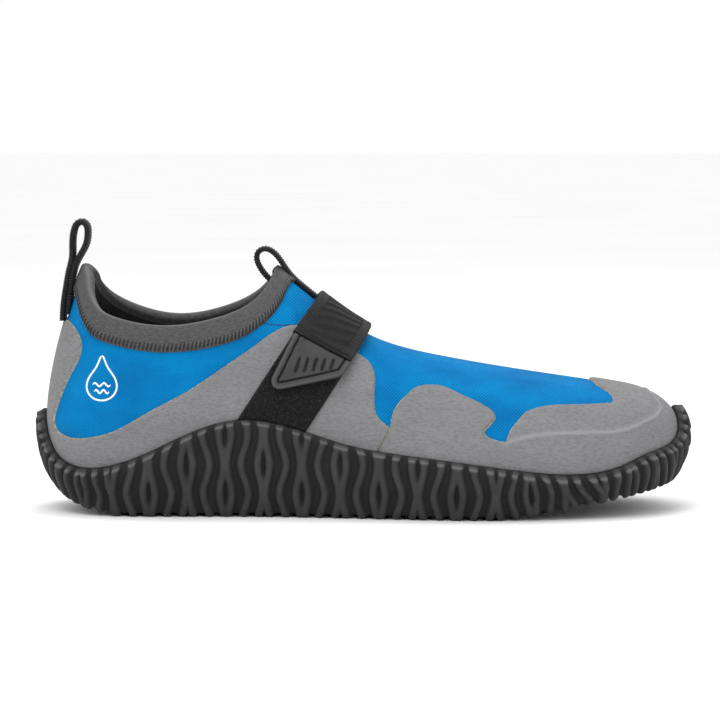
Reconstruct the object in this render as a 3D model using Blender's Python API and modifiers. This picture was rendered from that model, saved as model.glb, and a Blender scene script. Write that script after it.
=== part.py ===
"""Right-foot neoprene water shoe with an instep strap, modelled as its separate sewn and moulded parts.

The toe points to +X, the outer side of the foot is -Y and the ground is z = 0. The upper is one
lofted form: a wall that runs round the foot from the heel to the toe and rises from the feather
line to the collar edge or to the instep ridge. Every layer of the shoe is an offset of that form.
Tables are in millimetres, with x counted from the back of the heel.
"""

import math

import bmesh
import bpy
import numpy as np
from mathutils import Matrix

MM = 0.001
HEEL_TO_ORIGIN = 145.6

NEOPRENE = 2.5
OVERLAY_IN = 1.0
OVERLAY = 0.8
SOLE_IN = 2.5
SOLE_OUT = 6.2
RIM_OUT = 4.4
SOLE_FLOOR = 3.5
# The tread lifts off the ground behind and in front of these places.
HEEL_LIFT_END = 44.0
HEEL_LIFT = 0.008
TOE_LIFT_START = 198.0
TOE_SLOPE = 0.17
TOE_BEND = 12.0
GAP = 0.4
BAND_HEIGHT = 11.0
BAND_EXTRA_IN_FRONT = 3.0
LEATHER_UNDER_RIM = 4.0
STRAP_WIDTH = 27.5
PILE_OUT = 3.2
HOOK_OUT = 4.3
WEB_OUT = 5.4
TAB_OUT = 7.0
RIBBON_WIDTH = 12.0
BAND_GAP = 0.02
# Half gaps of the seams, as shares of the way round.
HEEL_SEAM = 0.004
VAMP_SEAM = 0.0015
LEATHER_SEAM = 0.0015

# Station, x, half width on the outer side, half width on the inner side, z.
FEATHER = [
    (0.00, 14, 0, 0, 14), (0.06, 19, 17, 17, 13), (0.14, 35, 27, 26.5, 11.5),
    (0.24, 66, 29, 27.5, 11), (0.34, 98, 29.5, 26.5, 12), (0.42, 122, 32, 28.5, 12),
    (0.54, 158, 38, 36, 11), (0.66, 194, 42.5, 41.5, 10.5), (0.76, 224, 40.5, 42, 12),
    (0.86, 254, 32.5, 37.5, 15), (0.94, 273, 16, 24, 18.5), (1.00, 280, -4, 4, 20),
]
BELLY = [
    (0.00, -2, 0, 0, 34), (0.06, 4.5, 26, 26, 32), (0.14, 33, 41, 40.5, 30),
    (0.24, 66, 43, 42, 30), (0.34, 98, 42, 39, 33), (0.42, 122, 45, 41, 34),
    (0.54, 158, 52.5, 50, 30), (0.66, 196, 58.5, 58, 28), (0.76, 230, 56, 58.5, 29),
    (0.86, 263, 43, 49.5, 31), (0.94, 284, 21, 30, 35), (1.00, 291, -4, 4, 37),
]
SHOULDER = [
    (0.00, 12, 0, 0, 78), (0.06, 16, 17, 17, 70), (0.14, 33, 33, 33, 66),
    (0.24, 63, 37, 37, 62), (0.34, 97, 34, 34, 72), (0.42, 124, 32, 32, 90),
    (0.54, 150, 32, 33, 76), (0.66, 188, 40, 42, 66.5), (0.76, 219, 41, 44, 60.5),
    (0.86, 250, 33, 38, 56), (0.94, 273, 14, 23, 53), (1.00, 280, -4, 4, 52),
]
# Station, x, half width, z on the outer side, z on the inner side along the collar edge.
COLLAR = [
    (0.000, 22.5, 0, 107.5, 107.5), (0.035, 24.6, 9, 103.5, 105.2), (0.070, 26.0, 14.5, 96.5, 101.2),
    (0.100, 29.5, 19.5, 90, 96.6), (0.140, 36.5, 23.5, 85.8, 91.4), (0.190, 49, 26.5, 82.8, 86.2),
    (0.250, 65, 27.5, 82.2, 84), (0.310, 82, 26, 85.3, 87.2), (0.355, 94.5, 21, 90.3, 92.6),
    (0.385, 101.5, 15, 96.2, 98), (0.405, 105.6, 8.5, 102.5, 103.2), (0.420, 107.3, 0, 106.5, 106.5),
]
COLLAR_FRONT = 0.42
# The band ends in a point on the instep; its top is rounded by offsets and lifts, and leans forward in front.
BAND_TIP = 0.455
BAND_TOP = [(-2.8, -0.6), (-1.2, 1.0), (0.6, -0.6)]
FRONT_LIP = (-0.62, 0, 0.78)
# Station, x, y, z along the top of the instep and toes.
RIDGE = [
    (0.42, 107.3, 0, 106.5), (0.46, 117.5, 0, 97.2), (0.50, 128.5, 0, 88.5),
    (0.54, 141.5, 0, 80), (0.60, 160, 0, 72), (0.66, 180, 0, 67.2), (0.76, 211, 1, 61.8),
    (0.86, 237, 2.2, 57.8), (0.94, 251, 3.3, 55.6), (1.00, 256, 4, 54.8),
]
# Station and z of the sole's upper edge: heel cup, waist peak under the strap, toe bumper.
SOLE_EDGE = [
    (0.00, 44), (0.03, 37.5), (0.055, 28.5), (0.085, 23), (0.125, 21.8), (0.185, 26.8),
    (0.246, 35.5), (0.33, 42.6), (0.401, 38.7), (0.478, 32), (0.578, 27.5), (0.70, 22.8),
    (0.787, 20.5), (0.856, 23.5), (0.89, 27.3), (0.93, 29.8), (0.965, 35), (1.00, 43.5),
]
# Edges of the leather panels, read as x and z on the outer side of the shoe.
REAR_EDGE = [
    (15.6, 35.5), (22.2, 34.5), (29.3, 35.5), (39.4, 38.5), (49.5, 44.1), (69.7, 55.2),
    (89.9, 68.5), (100, 75), (107, 79.5), (116.8, 82), (130, 77),
    (144, 69.5), (149, 62), (149.6, 50), (152, 43.5), (155.5, 40),
]
FRONT_EDGE = [
    (156.6, 41.5), (158, 46.2), (160.8, 50.5), (167.6, 56.5), (175, 57.6), (183.7, 55),
    (193.6, 50.6), (199.5, 46), (201.5, 40), (205.5, 34.2), (206.5, 34.6), (208.4, 39.4),
    (214.6, 46), (224.5, 48.7), (243.8, 49.3), (251, 50.8),
]
# Station and z of the rear leather's edge behind the heel, and the stations of seam and toe crest.
HEEL_EDGE = [(0, 83), (0.02, 81), (0.03, 72), (0.045, 58), (0.06, 47), (0.075, 38)]
MIDDLE_SEAM = 0.529
TOE_CREST = 0.898
STATIONS = [
    0, 0.02, 0.04, 0.06, 0.085, 0.11, 0.14, 0.17, 0.20, 0.24, 0.28, 0.32, 0.355, 0.385, 0.405,
    0.42, 0.44, 0.455, 0.48, 0.51, 0.54, 0.57, 0.60, 0.63, 0.655, 0.675, 0.69, 0.72, 0.75, 0.78, 0.81,
    0.84, 0.858, 0.871, 0.882, 0.893, 0.91, 0.93, 0.95, 0.965, 0.98, 0.99, 1.0,
]
# The strap runs in planes square to the instep: ACROSS measures its width, ALONG its length.
ACROSS = np.array((0.833, -0.554))
ALONG = np.array((0.554, 0.833))
STRAP_REAR = 52.0
STRAP_FRONT = STRAP_REAR + STRAP_WIDTH
TAB_TOP = 130.5
TAB_OUTLINE = [(52.6, 129.5), (55.3, 106), (59.4, 105.4), (80, 124.6), (79.8, 129.5)]
PILE_TOP = 130.0
PILE_FOOT = (89, 99)
STRAP_HINGE_RISE = 0.86
HINGE_GAP = 0.012

# Ribbon outlines in the middle plane, x and z.
HEEL_LOOP = [
    (11.9, 86.5), (13.4, 97), (14.9, 106), (15.7, 112), (16.0, 118.5), (17.0, 123.4), (18.9, 126.8),
    (21.7, 128), (24.3, 127), (25.8, 122.8), (25.0, 118.3), (22.8, 114.4), (20.2, 110.8),
    (17.4, 104), (16.0, 96), (14.7, 86.5),
]
HEEL_LOOP_HOLE = [
    (19.1, 113.2), (18.6, 118), (19.3, 122.6), (21.2, 124.9), (22.6, 122.4), (22.4, 118), (20.8, 114.4),
]
HEEL_LOOP_TAIL = [(11.6, 83.6), (11.85, 86.1), (14.6, 86.1), (14.3, 83.6)]
HEEL_PIVOT = (11.6, 86.3)
FRONT_LOOP = [
    (109.8, 109.1), (107.6, 111.6), (104.6, 114.4), (101.6, 115.4), (98.9, 114.2), (97.4, 111.6),
    (97.8, 108.6), (99.0, 106.1), (100.6, 106.9), (99.6, 109.3), (99.5, 111.4), (100.4, 113.0),
    (102.0, 113.5), (103.8, 112.7), (106.1, 110.6), (108.4, 108.0),
]
FRONT_LOOP_BASE = [
    (123.5, 94.3), (124.6, 95.7), (115.1, 103.9), (111.9, 106.8), (110.6, 105.6), (113.9, 102.5),
]
FRONT_LOOP_TAIL = [
    (101.0, 103.9), (102.4, 104.9), (104.0, 102.9), (109.0, 98.3), (107.9, 96.9), (102.7, 101.4),
]
FRONT_PIVOT = (105.2, 107.2)
# Hinge lines of the strap, in metres: where it leaves its anchor, and where the tab is sewn on.
STRAP_PIVOT = (-0.0090, 0.0142, 0.0879)
TAB_PIVOT = (-0.0182, -0.0335, 0.0743)


def spline(knots, values, closed=False):
    """Return a smooth curve through values at knots; a closed one repeats its first value."""
    knots = np.array(knots, dtype=float)
    values = np.array(values, dtype=float)
    step = np.diff(knots)
    slope = np.diff(values, axis=0) / step[:, None]
    count = len(knots)
    matrix = np.eye(count)
    right = np.zeros_like(values)
    for i in range(1, count - 1):
        matrix[i, i - 1:i + 2] = step[i - 1], 2 * (step[i - 1] + step[i]), step[i]
        right[i] = 6 * (slope[i] - slope[i - 1])
    if closed:
        matrix[0, 0] = 2 * (step[0] + step[-1])
        matrix[0, 1] = step[0]
        matrix[0, -2] = step[-1]
        right[0] = 6 * (slope[0] - slope[-1])
        matrix[-1, 0] = -1
    bend = np.linalg.solve(matrix, right)

    def curve(place):
        place = np.asarray(place, dtype=float)
        i = np.clip(np.searchsorted(knots, place, side="right") - 1, 0, count - 2)
        width = step[i][..., None]
        before = (knots[i + 1] - place)[..., None] / width
        after = 1 - before
        bow = (before**3 - before) * bend[i] + (after**3 - after) * bend[i + 1]
        return before * values[i] + after * values[i + 1] + bow * width**2 / 6

    return curve


def closed_row(rows):
    """Turn a table of half widths into one closed curve: outer side 0 to 1, inner side 1 to 2."""
    outer = [(s, x, -a, z) for s, x, a, _, z in rows]
    inner = [(2 - s, x, b, z) for s, x, _, b, z in reversed(rows[:-1])]
    table = outer + inner
    return spline([row[0] for row in table], [row[1:] for row in table], closed=True)


def collar_curve():
    """Return the closed collar edge, from -front round the heel at 0 to +front on the outer side."""
    inner = [(-s, x, y, z) for s, x, y, _, z in reversed(COLLAR[1:])]
    outer = [(s, x, -y, z) for s, x, y, z, _ in COLLAR]
    table = inner + outer
    return spline([row[0] for row in table], [row[1:] for row in table], closed=True)


feather = closed_row(FEATHER)
belly = closed_row(BELLY)
shoulder = closed_row(SHOULDER)
collar = collar_curve()
ridge = spline([row[0] for row in RIDGE], [row[1:] for row in RIDGE])
MIRRORED_EDGE = (
    [(-s, z) for s, z in reversed(SOLE_EDGE[1:3])] + SOLE_EDGE
    + [(2 - s, z) for s, z in reversed(SOLE_EDGE[-3:-1])]
)
sole_edge = spline([row[0] for row in MIRRORED_EDGE], [row[1:] for row in MIRRORED_EDGE])


def station(turn):
    """Return the station, 0 at the heel to 1 at the toe, of a place round the shoe."""
    return np.minimum(turn, 2 - turn)


def top(turn):
    """Return the upper end of the wall: the collar edge behind, the ridge in front."""
    on_collar = collar(np.where(turn <= 1, turn, turn - 2).clip(-COLLAR_FRONT, COLLAR_FRONT))
    on_ridge = ridge(station(turn).clip(COLLAR_FRONT, 1))
    return np.where((station(turn) <= COLLAR_FRONT)[..., None], on_collar, on_ridge)


def form(turn, rise):
    """Return points of the upper's outer face: turn 0 to 2 round the foot, rise 0 to 1 up the wall."""
    turn = np.asarray(turn, dtype=float) % 2
    rise = np.asarray(rise, dtype=float)[..., None]
    fall = 1 - rise
    lower = fall**3 * feather(turn) + 3 * fall**2 * rise * belly(turn)
    return lower + 3 * fall * rise**2 * shoulder(turn) + rise**3 * top(turn)


def unit(vectors):
    """Scale vectors to length one."""
    return vectors / np.maximum(np.linalg.norm(vectors, axis=-1, keepdims=True), 1e-12)


def normal(turn, rise):
    """Return the outward direction of the form."""
    turn = np.asarray(turn, dtype=float) % 2
    rise = np.asarray(rise, dtype=float)
    small = 0.0005
    along = form(turn + small, rise) - form(turn - small, rise)
    up = form(turn, rise + small) - form(turn, rise - small)
    outward = unit(np.cross(along, up))
    places = station(turn)
    run = ridge((places + small).clip(COLLAR_FRONT, 1)) - ridge((places - small).clip(COLLAR_FRONT, 1))
    run[..., 1] = 0
    run[..., 0] += (places < COLLAR_FRONT) * 1.0
    crest = unit(np.stack([-run[..., 2], run[..., 1], run[..., 0]], axis=-1))
    on_ridge = (rise > 0.9999) & (places >= COLLAR_FRONT - 1e-9)
    return np.where(on_ridge[..., None], crest, outward)


def layer(turn, rise, offset):
    """Return points at an offset from the form, in the shoe's frame and in metres."""
    return to_frame(form(turn, rise) + np.asarray(offset)[..., None] * normal(turn, rise))


def to_frame(points):
    """Move points from heel-based millimetres to the shoe's own frame in metres."""
    return (np.asarray(points) - (HEEL_TO_ORIGIN, 0, 0)) * MM


def rise_at_height(turn, height):
    """Return the rise at which the wall passes a height."""
    low = np.zeros_like(np.asarray(turn, dtype=float))
    high = np.ones_like(low)
    for _ in range(30):
        middle = (low + high) / 2
        below = form(turn, middle)[..., 2] < height
        low = np.where(below, middle, low)
        high = np.where(below, high, middle)
    return (low + high) / 2


def on_side(x, z):
    """Return turn and rise of points given by x and z on the outer side of the shoe."""
    x = np.asarray(x, dtype=float)
    z = np.asarray(z, dtype=float)
    turn = np.interp(x, [row[1] for row in FEATHER], [row[0] for row in FEATHER])
    rise = rise_at_height(turn, z)
    small = 0.0005
    for _ in range(25):
        here = form(turn, rise)
        by_turn = (form(turn + small, rise) - here) / small
        by_rise = (form(turn, rise + small) - here) / small
        miss_x = x - here[..., 0]
        miss_z = z - here[..., 2]
        scale = by_turn[..., 0] * by_rise[..., 2] - by_rise[..., 0] * by_turn[..., 2]
        scale = np.where(np.abs(scale) < 1, 1, scale)
        turn = turn + ((miss_x * by_rise[..., 2] - miss_z * by_rise[..., 0]) / scale).clip(-0.03, 0.03)
        rise = rise + ((miss_z * by_turn[..., 0] - miss_x * by_turn[..., 2]) / scale).clip(-0.08, 0.08)
        turn = turn.clip(0.002, 0.998)
        rise = rise.clip(0, 1)
    return turn, rise


def edge_rises(points):
    """Return the stations and rises of a panel edge."""
    turn, rise = on_side([p[0] for p in points], [p[1] for p in points])
    order = np.argsort(turn)
    return turn[order], rise[order]


def sole_edge_rise(turn, below=0.0):
    """Return the rise of the sole's upper edge, lowered by a length."""
    return rise_at_height(turn, sole_edge(station(turn))[..., 0] - below)


def columns(first, last):
    """Return the places round one side between two stations, with both ends."""
    inside = [s for s in STATIONS if first + 0.004 < s < last - 0.004]
    return np.array([first] + inside + [last])


def bottom_height(x):
    """Return the height of the tread: flat under the foot, curved up at heel and toe."""
    heel = np.maximum(0, HEEL_LIFT_END - x)
    toe = np.maximum(0, x - TOE_LIFT_START)
    return HEEL_LIFT * heel**2 + TOE_SLOPE * (np.hypot(toe, TOE_BEND) - TOE_BEND)


def material(name, colour, roughness):
    """Make one material with its colour and roughness."""
    made = bpy.data.materials.new(name)
    made.use_nodes = True
    shader = made.node_tree.nodes["Principled BSDF"]
    shader.inputs["Base Color"].default_value = (*colour, 1)
    shader.inputs["Roughness"].default_value = roughness
    shader.inputs["Metallic"].default_value = 0
    return made


def add_mesh(name, vertices, faces, finish, smooth=40):
    """Add a mesh object to the shoe, with doubled points joined."""
    mesh = bpy.data.meshes.new(name)
    mesh.from_pydata([tuple(v) for v in vertices], [], faces)
    work = bmesh.new()
    work.from_mesh(mesh)
    bmesh.ops.remove_doubles(work, verts=work.verts, dist=0.00002)
    work.to_mesh(mesh)
    work.free()
    mesh.shade_smooth()
    mesh.set_sharp_from_angle(angle=math.radians(smooth))
    made = bpy.data.objects.new(name, mesh)
    made.data.materials.append(finish)
    shoe.objects.link(made)
    return made


def thicken(made, thickness):
    """Give an open surface its thickness, inward from its outer face."""
    solid = made.modifiers.new("Thickness", "SOLIDIFY")
    solid.thickness = thickness * MM
    solid.offset = -1
    return made


def grid_faces(wide, high, closed=False):
    """Return the quads of a grid whose points run along the width first."""
    faces = []
    for j in range(high - 1):
        for i in range(wide if closed else wide - 1):
            k = (i + 1) % wide
            faces.append((j * wide + i, j * wide + k, (j + 1) * wide + k, (j + 1) * wide + i))
    return faces


def panel(name, turns, low, high, outer, thickness, finish, rows=5):
    """Make a sewn panel: columns at turns, from the low to the high rise, at an outer offset."""
    share = np.linspace(0, 1, rows + 1)[:, None]
    rise = low[None, :] + share * (high - low)[None, :]
    turn = np.broadcast_to(turns, rise.shape)
    points = layer(turn, rise, np.full(rise.shape, outer)).reshape(-1, 3)
    made = add_mesh(name, points, grid_faces(len(turns), rows + 1), finish)
    return thicken(made, thickness)


def both_sides(places):
    """Return the turns over the toe from one side to the other."""
    return np.concatenate([places, (2 - places[:-1])[::-1]])


def inset_outline(inset, lift):
    """Return the closed outline of the foot's base, drawn in by a length and lifted."""
    places = np.array(STATIONS)
    turns = np.concatenate([places, (2 - places[1:-1])[::-1]])
    line = feather(turns)
    step = feather((turns + 0.001) % 2) - feather((turns - 0.001) % 2)
    outward = unit(np.stack([step[:, 1], -step[:, 0], np.zeros(len(turns))], axis=1))
    line = line - outward * inset
    line[:, 2] += lift
    return line


def cap_faces(first, count, extra, across=4):
    """Return the faces ruled across a ring: its points start at first, the inner points at extra."""

    def vertex(i, k):
        if k in (0, across):
            return first + (i if k == 0 else (count - i) % count)
        return extra + (i - 1) * (across - 1) + k - 1

    half = count // 2
    faces = []
    for k in range(across):
        for i in range(1, half - 1):
            faces.append((vertex(i, k), vertex(i + 1, k), vertex(i + 1, k + 1), vertex(i, k + 1)))
        faces.append((first, vertex(1, k), vertex(1, k + 1)))
        faces.append((first + half, vertex(half - 1, k + 1), vertex(half - 1, k)))
    return faces


def cap_points(line, height, across=4):
    """Return the points ruled across an outline, at a height that may depend on x."""
    count = len(line)
    points = []
    for i in range(1, count // 2):
        for k in range(1, across):
            point = line[i] + (line[count - i] - line[i]) * k / across
            if height:
                point[2] = height(point[0])
            points.append(point)
    return np.array(points)


def stack(name, chain, finish, floor=None, base=None):
    """Make a closed body from outlines that run from its upper or inner face to its base."""
    count = len(chain[0])
    upper = cap_points(chain[0], floor)
    lower = cap_points(chain[-1], base)
    ring_total = count * len(chain)
    points = np.concatenate(chain + [upper, lower])
    faces = [tuple(reversed(face)) for face in grid_faces(count, len(chain), closed=True)]
    faces += cap_faces(0, count, ring_total)
    last = count * (len(chain) - 1)
    faces += [tuple(reversed(face)) for face in cap_faces(last, count, ring_total + len(upper))]
    return add_mesh(name, to_frame(points), faces, finish)


def loop_turns():
    """Return the places all the way round the shoe."""
    places = np.array(STATIONS)
    return np.concatenate([places, (2 - places[1:-1])[::-1]])


def wall_outline(rise, offset):
    """Return one outline round the form, in heel-based millimetres."""
    turns = loop_turns()
    rise = np.broadcast_to(rise, turns.shape)
    return form(turns, rise) + offset * normal(turns, rise)


def make_outsole(finish):
    """Make the rubber bowl: floor, inner wall, rim, outer wall and tread."""
    turns = loop_turns()
    rim = sole_edge_rise(turns)
    floor = inset_outline(2.5, 0)
    floor[:, 2] = bottom_height(floor[:, 0]) + SOLE_FLOOR
    base = inset_outline(-3.0, 0)
    base[:, 2] = bottom_height(base[:, 0])
    inner = [wall_outline(rim * share, SOLE_IN) for share in (0, 0.25, 0.5, 0.75, 1)]
    outer = [wall_outline(rim, RIM_OUT)]
    outer += [wall_outline(rim * share, SOLE_OUT) for share in (0.84, 0.55, 0.25, 0)]
    chain = [floor] + inner + outer + [base]
    return stack("outsole", chain, finish, lambda x: bottom_height(x) + SOLE_FLOOR, bottom_height)


def make_slab(name, finish, upper, lower, from_floor=False):
    """Make a flat inner part from an inset and lift of its upper and lower outlines."""
    above = inset_outline(*upper)
    below = inset_outline(*lower)
    base = None
    if from_floor:
        below[:, 2] = bottom_height(below[:, 0]) + SOLE_FLOOR + GAP

        def base(x):
            return bottom_height(x) + SOLE_FLOOR + GAP

    return stack(name, [above, below], finish, None, base)


def band_rise(turn):
    """Return the rise of the collar band's lower edge, a fixed length below the collar edge."""
    span = np.linalg.norm(top(turn) - shoulder(turn), axis=-1)
    deeper = np.interp(station(turn), [COLLAR_FRONT - 0.06, COLLAR_FRONT], [0, BAND_EXTRA_IN_FRONT])
    level = 1 - (BAND_HEIGHT + deeper) / (3 * span)
    front_span = np.linalg.norm(top(COLLAR_FRONT) - shoulder(COLLAR_FRONT))
    front = 1 - (BAND_HEIGHT + BAND_EXTRA_IN_FRONT) / (3 * front_span)
    wedge = np.interp(station(turn), [COLLAR_FRONT, BAND_TIP], [front, 1])
    return np.where(station(turn) <= COLLAR_FRONT, level, wedge)


def make_collar_band(finish):
    """Make the knit band: a closed ring with a rounded top, folded over the collar edge."""
    outer_side = np.array([s for s in STATIONS if s <= COLLAR_FRONT] + [0.44, BAND_TIP])
    turns = np.concatenate([outer_side, (2 - outer_side[1:])[::-1]])
    places = station(turns)
    low = band_rise(turns)
    crown = np.where(places <= COLLAR_FRONT, turns, np.where(turns < 1, COLLAR_FRONT, 2 - COLLAR_FRONT))
    half = (low + 1) / 2
    edge = np.ones(len(turns))
    upward = unit(form(crown, edge) - form(crown, edge - 0.02))
    upward[places >= 0.38] = FRONT_LIP
    crest = form(crown, edge)
    outward = normal(crown, edge)
    rounded_top = [crest + outward * offset + upward * lift for offset, lift in BAND_TOP]
    sides = [(low, -2.8), (half, -3.0), (half, 0.9), (low, 0.6)]
    skin = [form(turns, rise) + normal(turns, rise) * offset for rise, offset in sides]
    chain = skin[:2] + rounded_top + skin[2:]
    count = len(turns)
    faces = [tuple(reversed(f)) for f in grid_faces(count, len(chain), closed=True)]
    last = count * (len(chain) - 1)
    faces += [(i, (i + 1) % count, last + (i + 1) % count, last + i) for i in range(count)]
    return add_mesh("collar_band", to_frame(np.concatenate(chain)), faces, finish)


def make_upper(blue):
    """Make the neoprene quarters and the vamp, split where the strap covers the seam."""
    places = columns(HEEL_SEAM, COLLAR_FRONT - VAMP_SEAM)
    high = band_rise(places) - BAND_GAP
    for name, turns in (("lateral_quarter", places), ("medial_quarter", (2 - places)[::-1])):
        rise = high if turns[0] < 1 else high[::-1]
        panel(name, turns, np.zeros(len(turns)), rise, 0, NEOPRENE, blue, rows=14)
    turns = both_sides(columns(COLLAR_FRONT + VAMP_SEAM, 1.0))
    high = np.minimum(band_rise(turns) - BAND_GAP, 1)
    high[station(turns) > BAND_TIP] = 1
    panel("vamp", turns, np.zeros(len(turns)), high, 0, NEOPRENE, blue, rows=14)


def make_overlays(leather):
    """Make the leather over the neoprene: one piece round the heel and both sides, one round the front."""
    outer = OVERLAY_IN + OVERLAY
    heel, heights = (np.array(row) for row in zip(*HEEL_EDGE))
    stations, rises = edge_rises(REAR_EDGE)
    sides = stations > heel[-1]
    edge = np.append(heel, stations[sides]), np.append(rise_at_height(heel, heights), rises[sides])
    places = columns(0, MIDDLE_SEAM - LEATHER_SEAM)
    places = np.append(heel, places[places > heel[-1]])
    turns = np.concatenate([(2 - places[1:])[::-1], places])
    high = np.interp(station(turns), *edge)
    low = sole_edge_rise(turns, LEATHER_UNDER_RIM)
    panel("rear_overlay", turns, low, high, outer, OVERLAY, leather, rows=8)

    stations, rises = edge_rises(FRONT_EDGE)
    turns = both_sides(columns(MIDDLE_SEAM + LEATHER_SEAM, 1.0))
    high = np.interp(station(turns), np.append(stations, TOE_CREST), np.append(rises, 1.0))
    low = sole_edge_rise(turns, LEATHER_UNDER_RIM)
    panel("front_overlay", turns, low, high, outer, OVERLAY, leather, rows=12)


def make_inner_parts(plastic, lining):
    """Make the hidden stiffeners and the heel lining."""
    places = columns(0, 0.20)
    turns = np.concatenate([(2 - places[1:])[::-1], places])
    low = np.full(len(turns), 0.12)
    high = rise_at_height(turns, np.interp(station(turns), [0, 0.1, 0.2], [70, 62, 40]))
    panel("heel_counter", turns, low, high, -NEOPRENE - 0.6, 1.0, plastic, rows=5)
    high = rise_at_height(turns, np.interp(station(turns), [0, 0.1, 0.2], [80, 70, 55]))
    panel("heel_lining", turns, low, high, -NEOPRENE - 2.2, 0.8, lining, rows=5)
    turns = both_sides(columns(0.86, 1.0))
    low = np.full(len(turns), 0.15)
    panel("toe_puff", turns, low, np.full(len(turns), 0.82), -NEOPRENE - 0.6, 0.8, plastic, rows=5)


def strap_turn(across, rise, outer_side=True):
    """Return the place round the shoe where a plane of the strap meets a rise."""
    low = np.full(np.shape(rise), 0.15)
    high = np.full(np.shape(rise), 0.85)
    for _ in range(30):
        middle = (low + high) / 2
        turn = middle if outer_side else 2 - middle
        behind = form(turn, rise)[..., [0, 2]] @ ACROSS < across
        low = np.where(behind, middle, low)
        high = np.where(behind, high, middle)
    return (low + high) / 2 if outer_side else 2 - (low + high) / 2


def strap_points(across, along):
    """Return turn and rise on the outer side of places given across and along the strap."""
    across = np.asarray(across, dtype=float)[..., None]
    along = np.asarray(along, dtype=float)[..., None]
    seen = across * ACROSS + along * ALONG
    return on_side(seen[..., 0], seen[..., 1])


def strip_mesh(name, rows_of_points, finish, thickness):
    """Make a thickened strip from rows of points across it."""
    wide = len(rows_of_points[0])
    faces = grid_faces(wide, len(rows_of_points))
    return thicken(add_mesh(name, np.concatenate(rows_of_points), faces, finish), thickness)


def strap_rows(first, last, count, offset, outer_side):
    """Return rows of points across the strap between two rises on one side."""
    across = np.linspace(STRAP_REAR, STRAP_FRONT, 5)
    rows = []
    for share in np.linspace(0, 1, count):
        rise = first + (last - first) * share
        turn = strap_turn(across, rise, outer_side)
        rows.append(layer(turn, rise, np.full(5, offset)))
    return rows


def make_strap(webbing_finish, rubber, pile):
    """Make the strap: pile panel, webbing, anchor, pull tab and hook patch."""
    across = np.linspace(STRAP_REAR, STRAP_FRONT, 5)
    start = strap_points(across, np.full(5, TAB_TOP + 0.8))[1]
    hinge = np.full(5, STRAP_HINGE_RISE)
    outer = strap_rows(start, np.ones(5), 6, WEB_OUT, True)
    inner = strap_rows(np.ones(5), hinge, 4, WEB_OUT, False)
    pivot_at(strip_mesh("strap_webbing", outer + inner[1:], webbing_finish, 2.0), STRAP_PIVOT)
    foot = sole_edge_rise(strap_turn(across, np.full(5, 0.35), False), -2.0)
    anchor = strap_rows(hinge - HINGE_GAP, foot, 8, WEB_OUT, False)
    strip_mesh("strap_anchor", anchor, webbing_finish, 2.0)

    columns_across = np.linspace(STRAP_REAR, STRAP_FRONT, 7)
    bottoms = np.interp(columns_across, [STRAP_REAR, STRAP_FRONT], PILE_FOOT)
    rows = []
    for share in np.linspace(0, 1, 8):
        turn, rise = strap_points(columns_across, bottoms + (PILE_TOP - bottoms) * share)
        rows.append(layer(turn, rise, np.full(7, PILE_OUT)))
    strip_mesh("strap_pile_panel", rows, pile, 0.7)

    rows = []
    left = (TAB_OUTLINE[0], TAB_OUTLINE[1])
    right = (TAB_OUTLINE[4], TAB_OUTLINE[3])
    for share in np.linspace(0, 1, 5):
        low = np.array(left[1]) + (np.array(left[0]) - left[1]) * share
        high = np.array(right[1]) + (np.array(right[0]) - right[1]) * share
        line = low + (high - low) * np.linspace(0, 1, 6)[:, None]
        turn, rise = strap_points(line[:, 0], line[:, 1])
        rows.append((turn, rise))
    tab = [layer(turn, rise, np.full(6, TAB_OUT)) for turn, rise in rows]
    pivot_at(strip_mesh("strap_tab", tab, rubber, 2.3), TAB_PIVOT)
    patch = [layer(turn[1:5], rise[1:5], np.full(4, HOOK_OUT)) for turn, rise in rows[:4]]
    pivot_at(strip_mesh("hook_patch", patch, pile, 0.7), TAB_PIVOT)


def pivot_at(made, place):
    """Put a mesh object's origin on its joint's axis."""
    made.data.transform(Matrix.Translation([-value for value in place]))
    made.location = place
    return made


def ribbon(name, outline, hole, width, finish, pivot=(0, 0)):
    """Make a ribbon seen edge-on: a flat outline in the shoe's middle plane, extruded sideways."""
    curve = bpy.data.curves.new(name, "CURVE")
    curve.dimensions = "2D"
    curve.fill_mode = "BOTH"
    curve.extrude = width * MM / 2
    for line in [outline] + ([hole] if hole else []):
        points = curve.splines.new("POLY")
        points.points.add(len(line) - 1)
        points.use_cyclic_u = True
        for point, (x, z) in zip(points.points, line):
            point.co = ((x - pivot[0]) * MM, (z - pivot[1]) * MM, 0, 1)
    made = bpy.data.objects.new(name, curve)
    made.rotation_euler = (math.pi / 2, 0, 0)
    made.location = to_frame((pivot[0], 0, pivot[1]))
    made.data.materials.append(finish)
    shoe.objects.link(made)
    return made


def rounded(points, count):
    """Return a smooth closed outline through a few points."""
    line = list(points) + [points[0]]
    curve = spline(range(len(line)), line, closed=True)
    return [tuple(curve(len(points) * i / count)) for i in range(count)]


def make_loops(finish):
    """Make the two ribbon loops, each with its sewn ends."""
    hole = rounded(HEEL_LOOP_HOLE, 14)
    ribbon("heel_loop", HEEL_LOOP, hole, RIBBON_WIDTH, finish, HEEL_PIVOT)
    ribbon("heel_loop_tail", HEEL_LOOP_TAIL, None, RIBBON_WIDTH, finish)
    ribbon("front_loop", FRONT_LOOP, None, RIBBON_WIDTH - 1, finish, FRONT_PIVOT)
    ribbon("front_loop_base", FRONT_LOOP_BASE, None, RIBBON_WIDTH - 1, finish)
    ribbon("front_loop_tail", FRONT_LOOP_TAIL, None, RIBBON_WIDTH - 1, finish)


for old in list(bpy.data.objects):
    bpy.data.objects.remove(old, do_unlink=True)
shoe = bpy.data.collections.new("water_shoe")
bpy.context.scene.collection.children.link(shoe)

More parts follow.
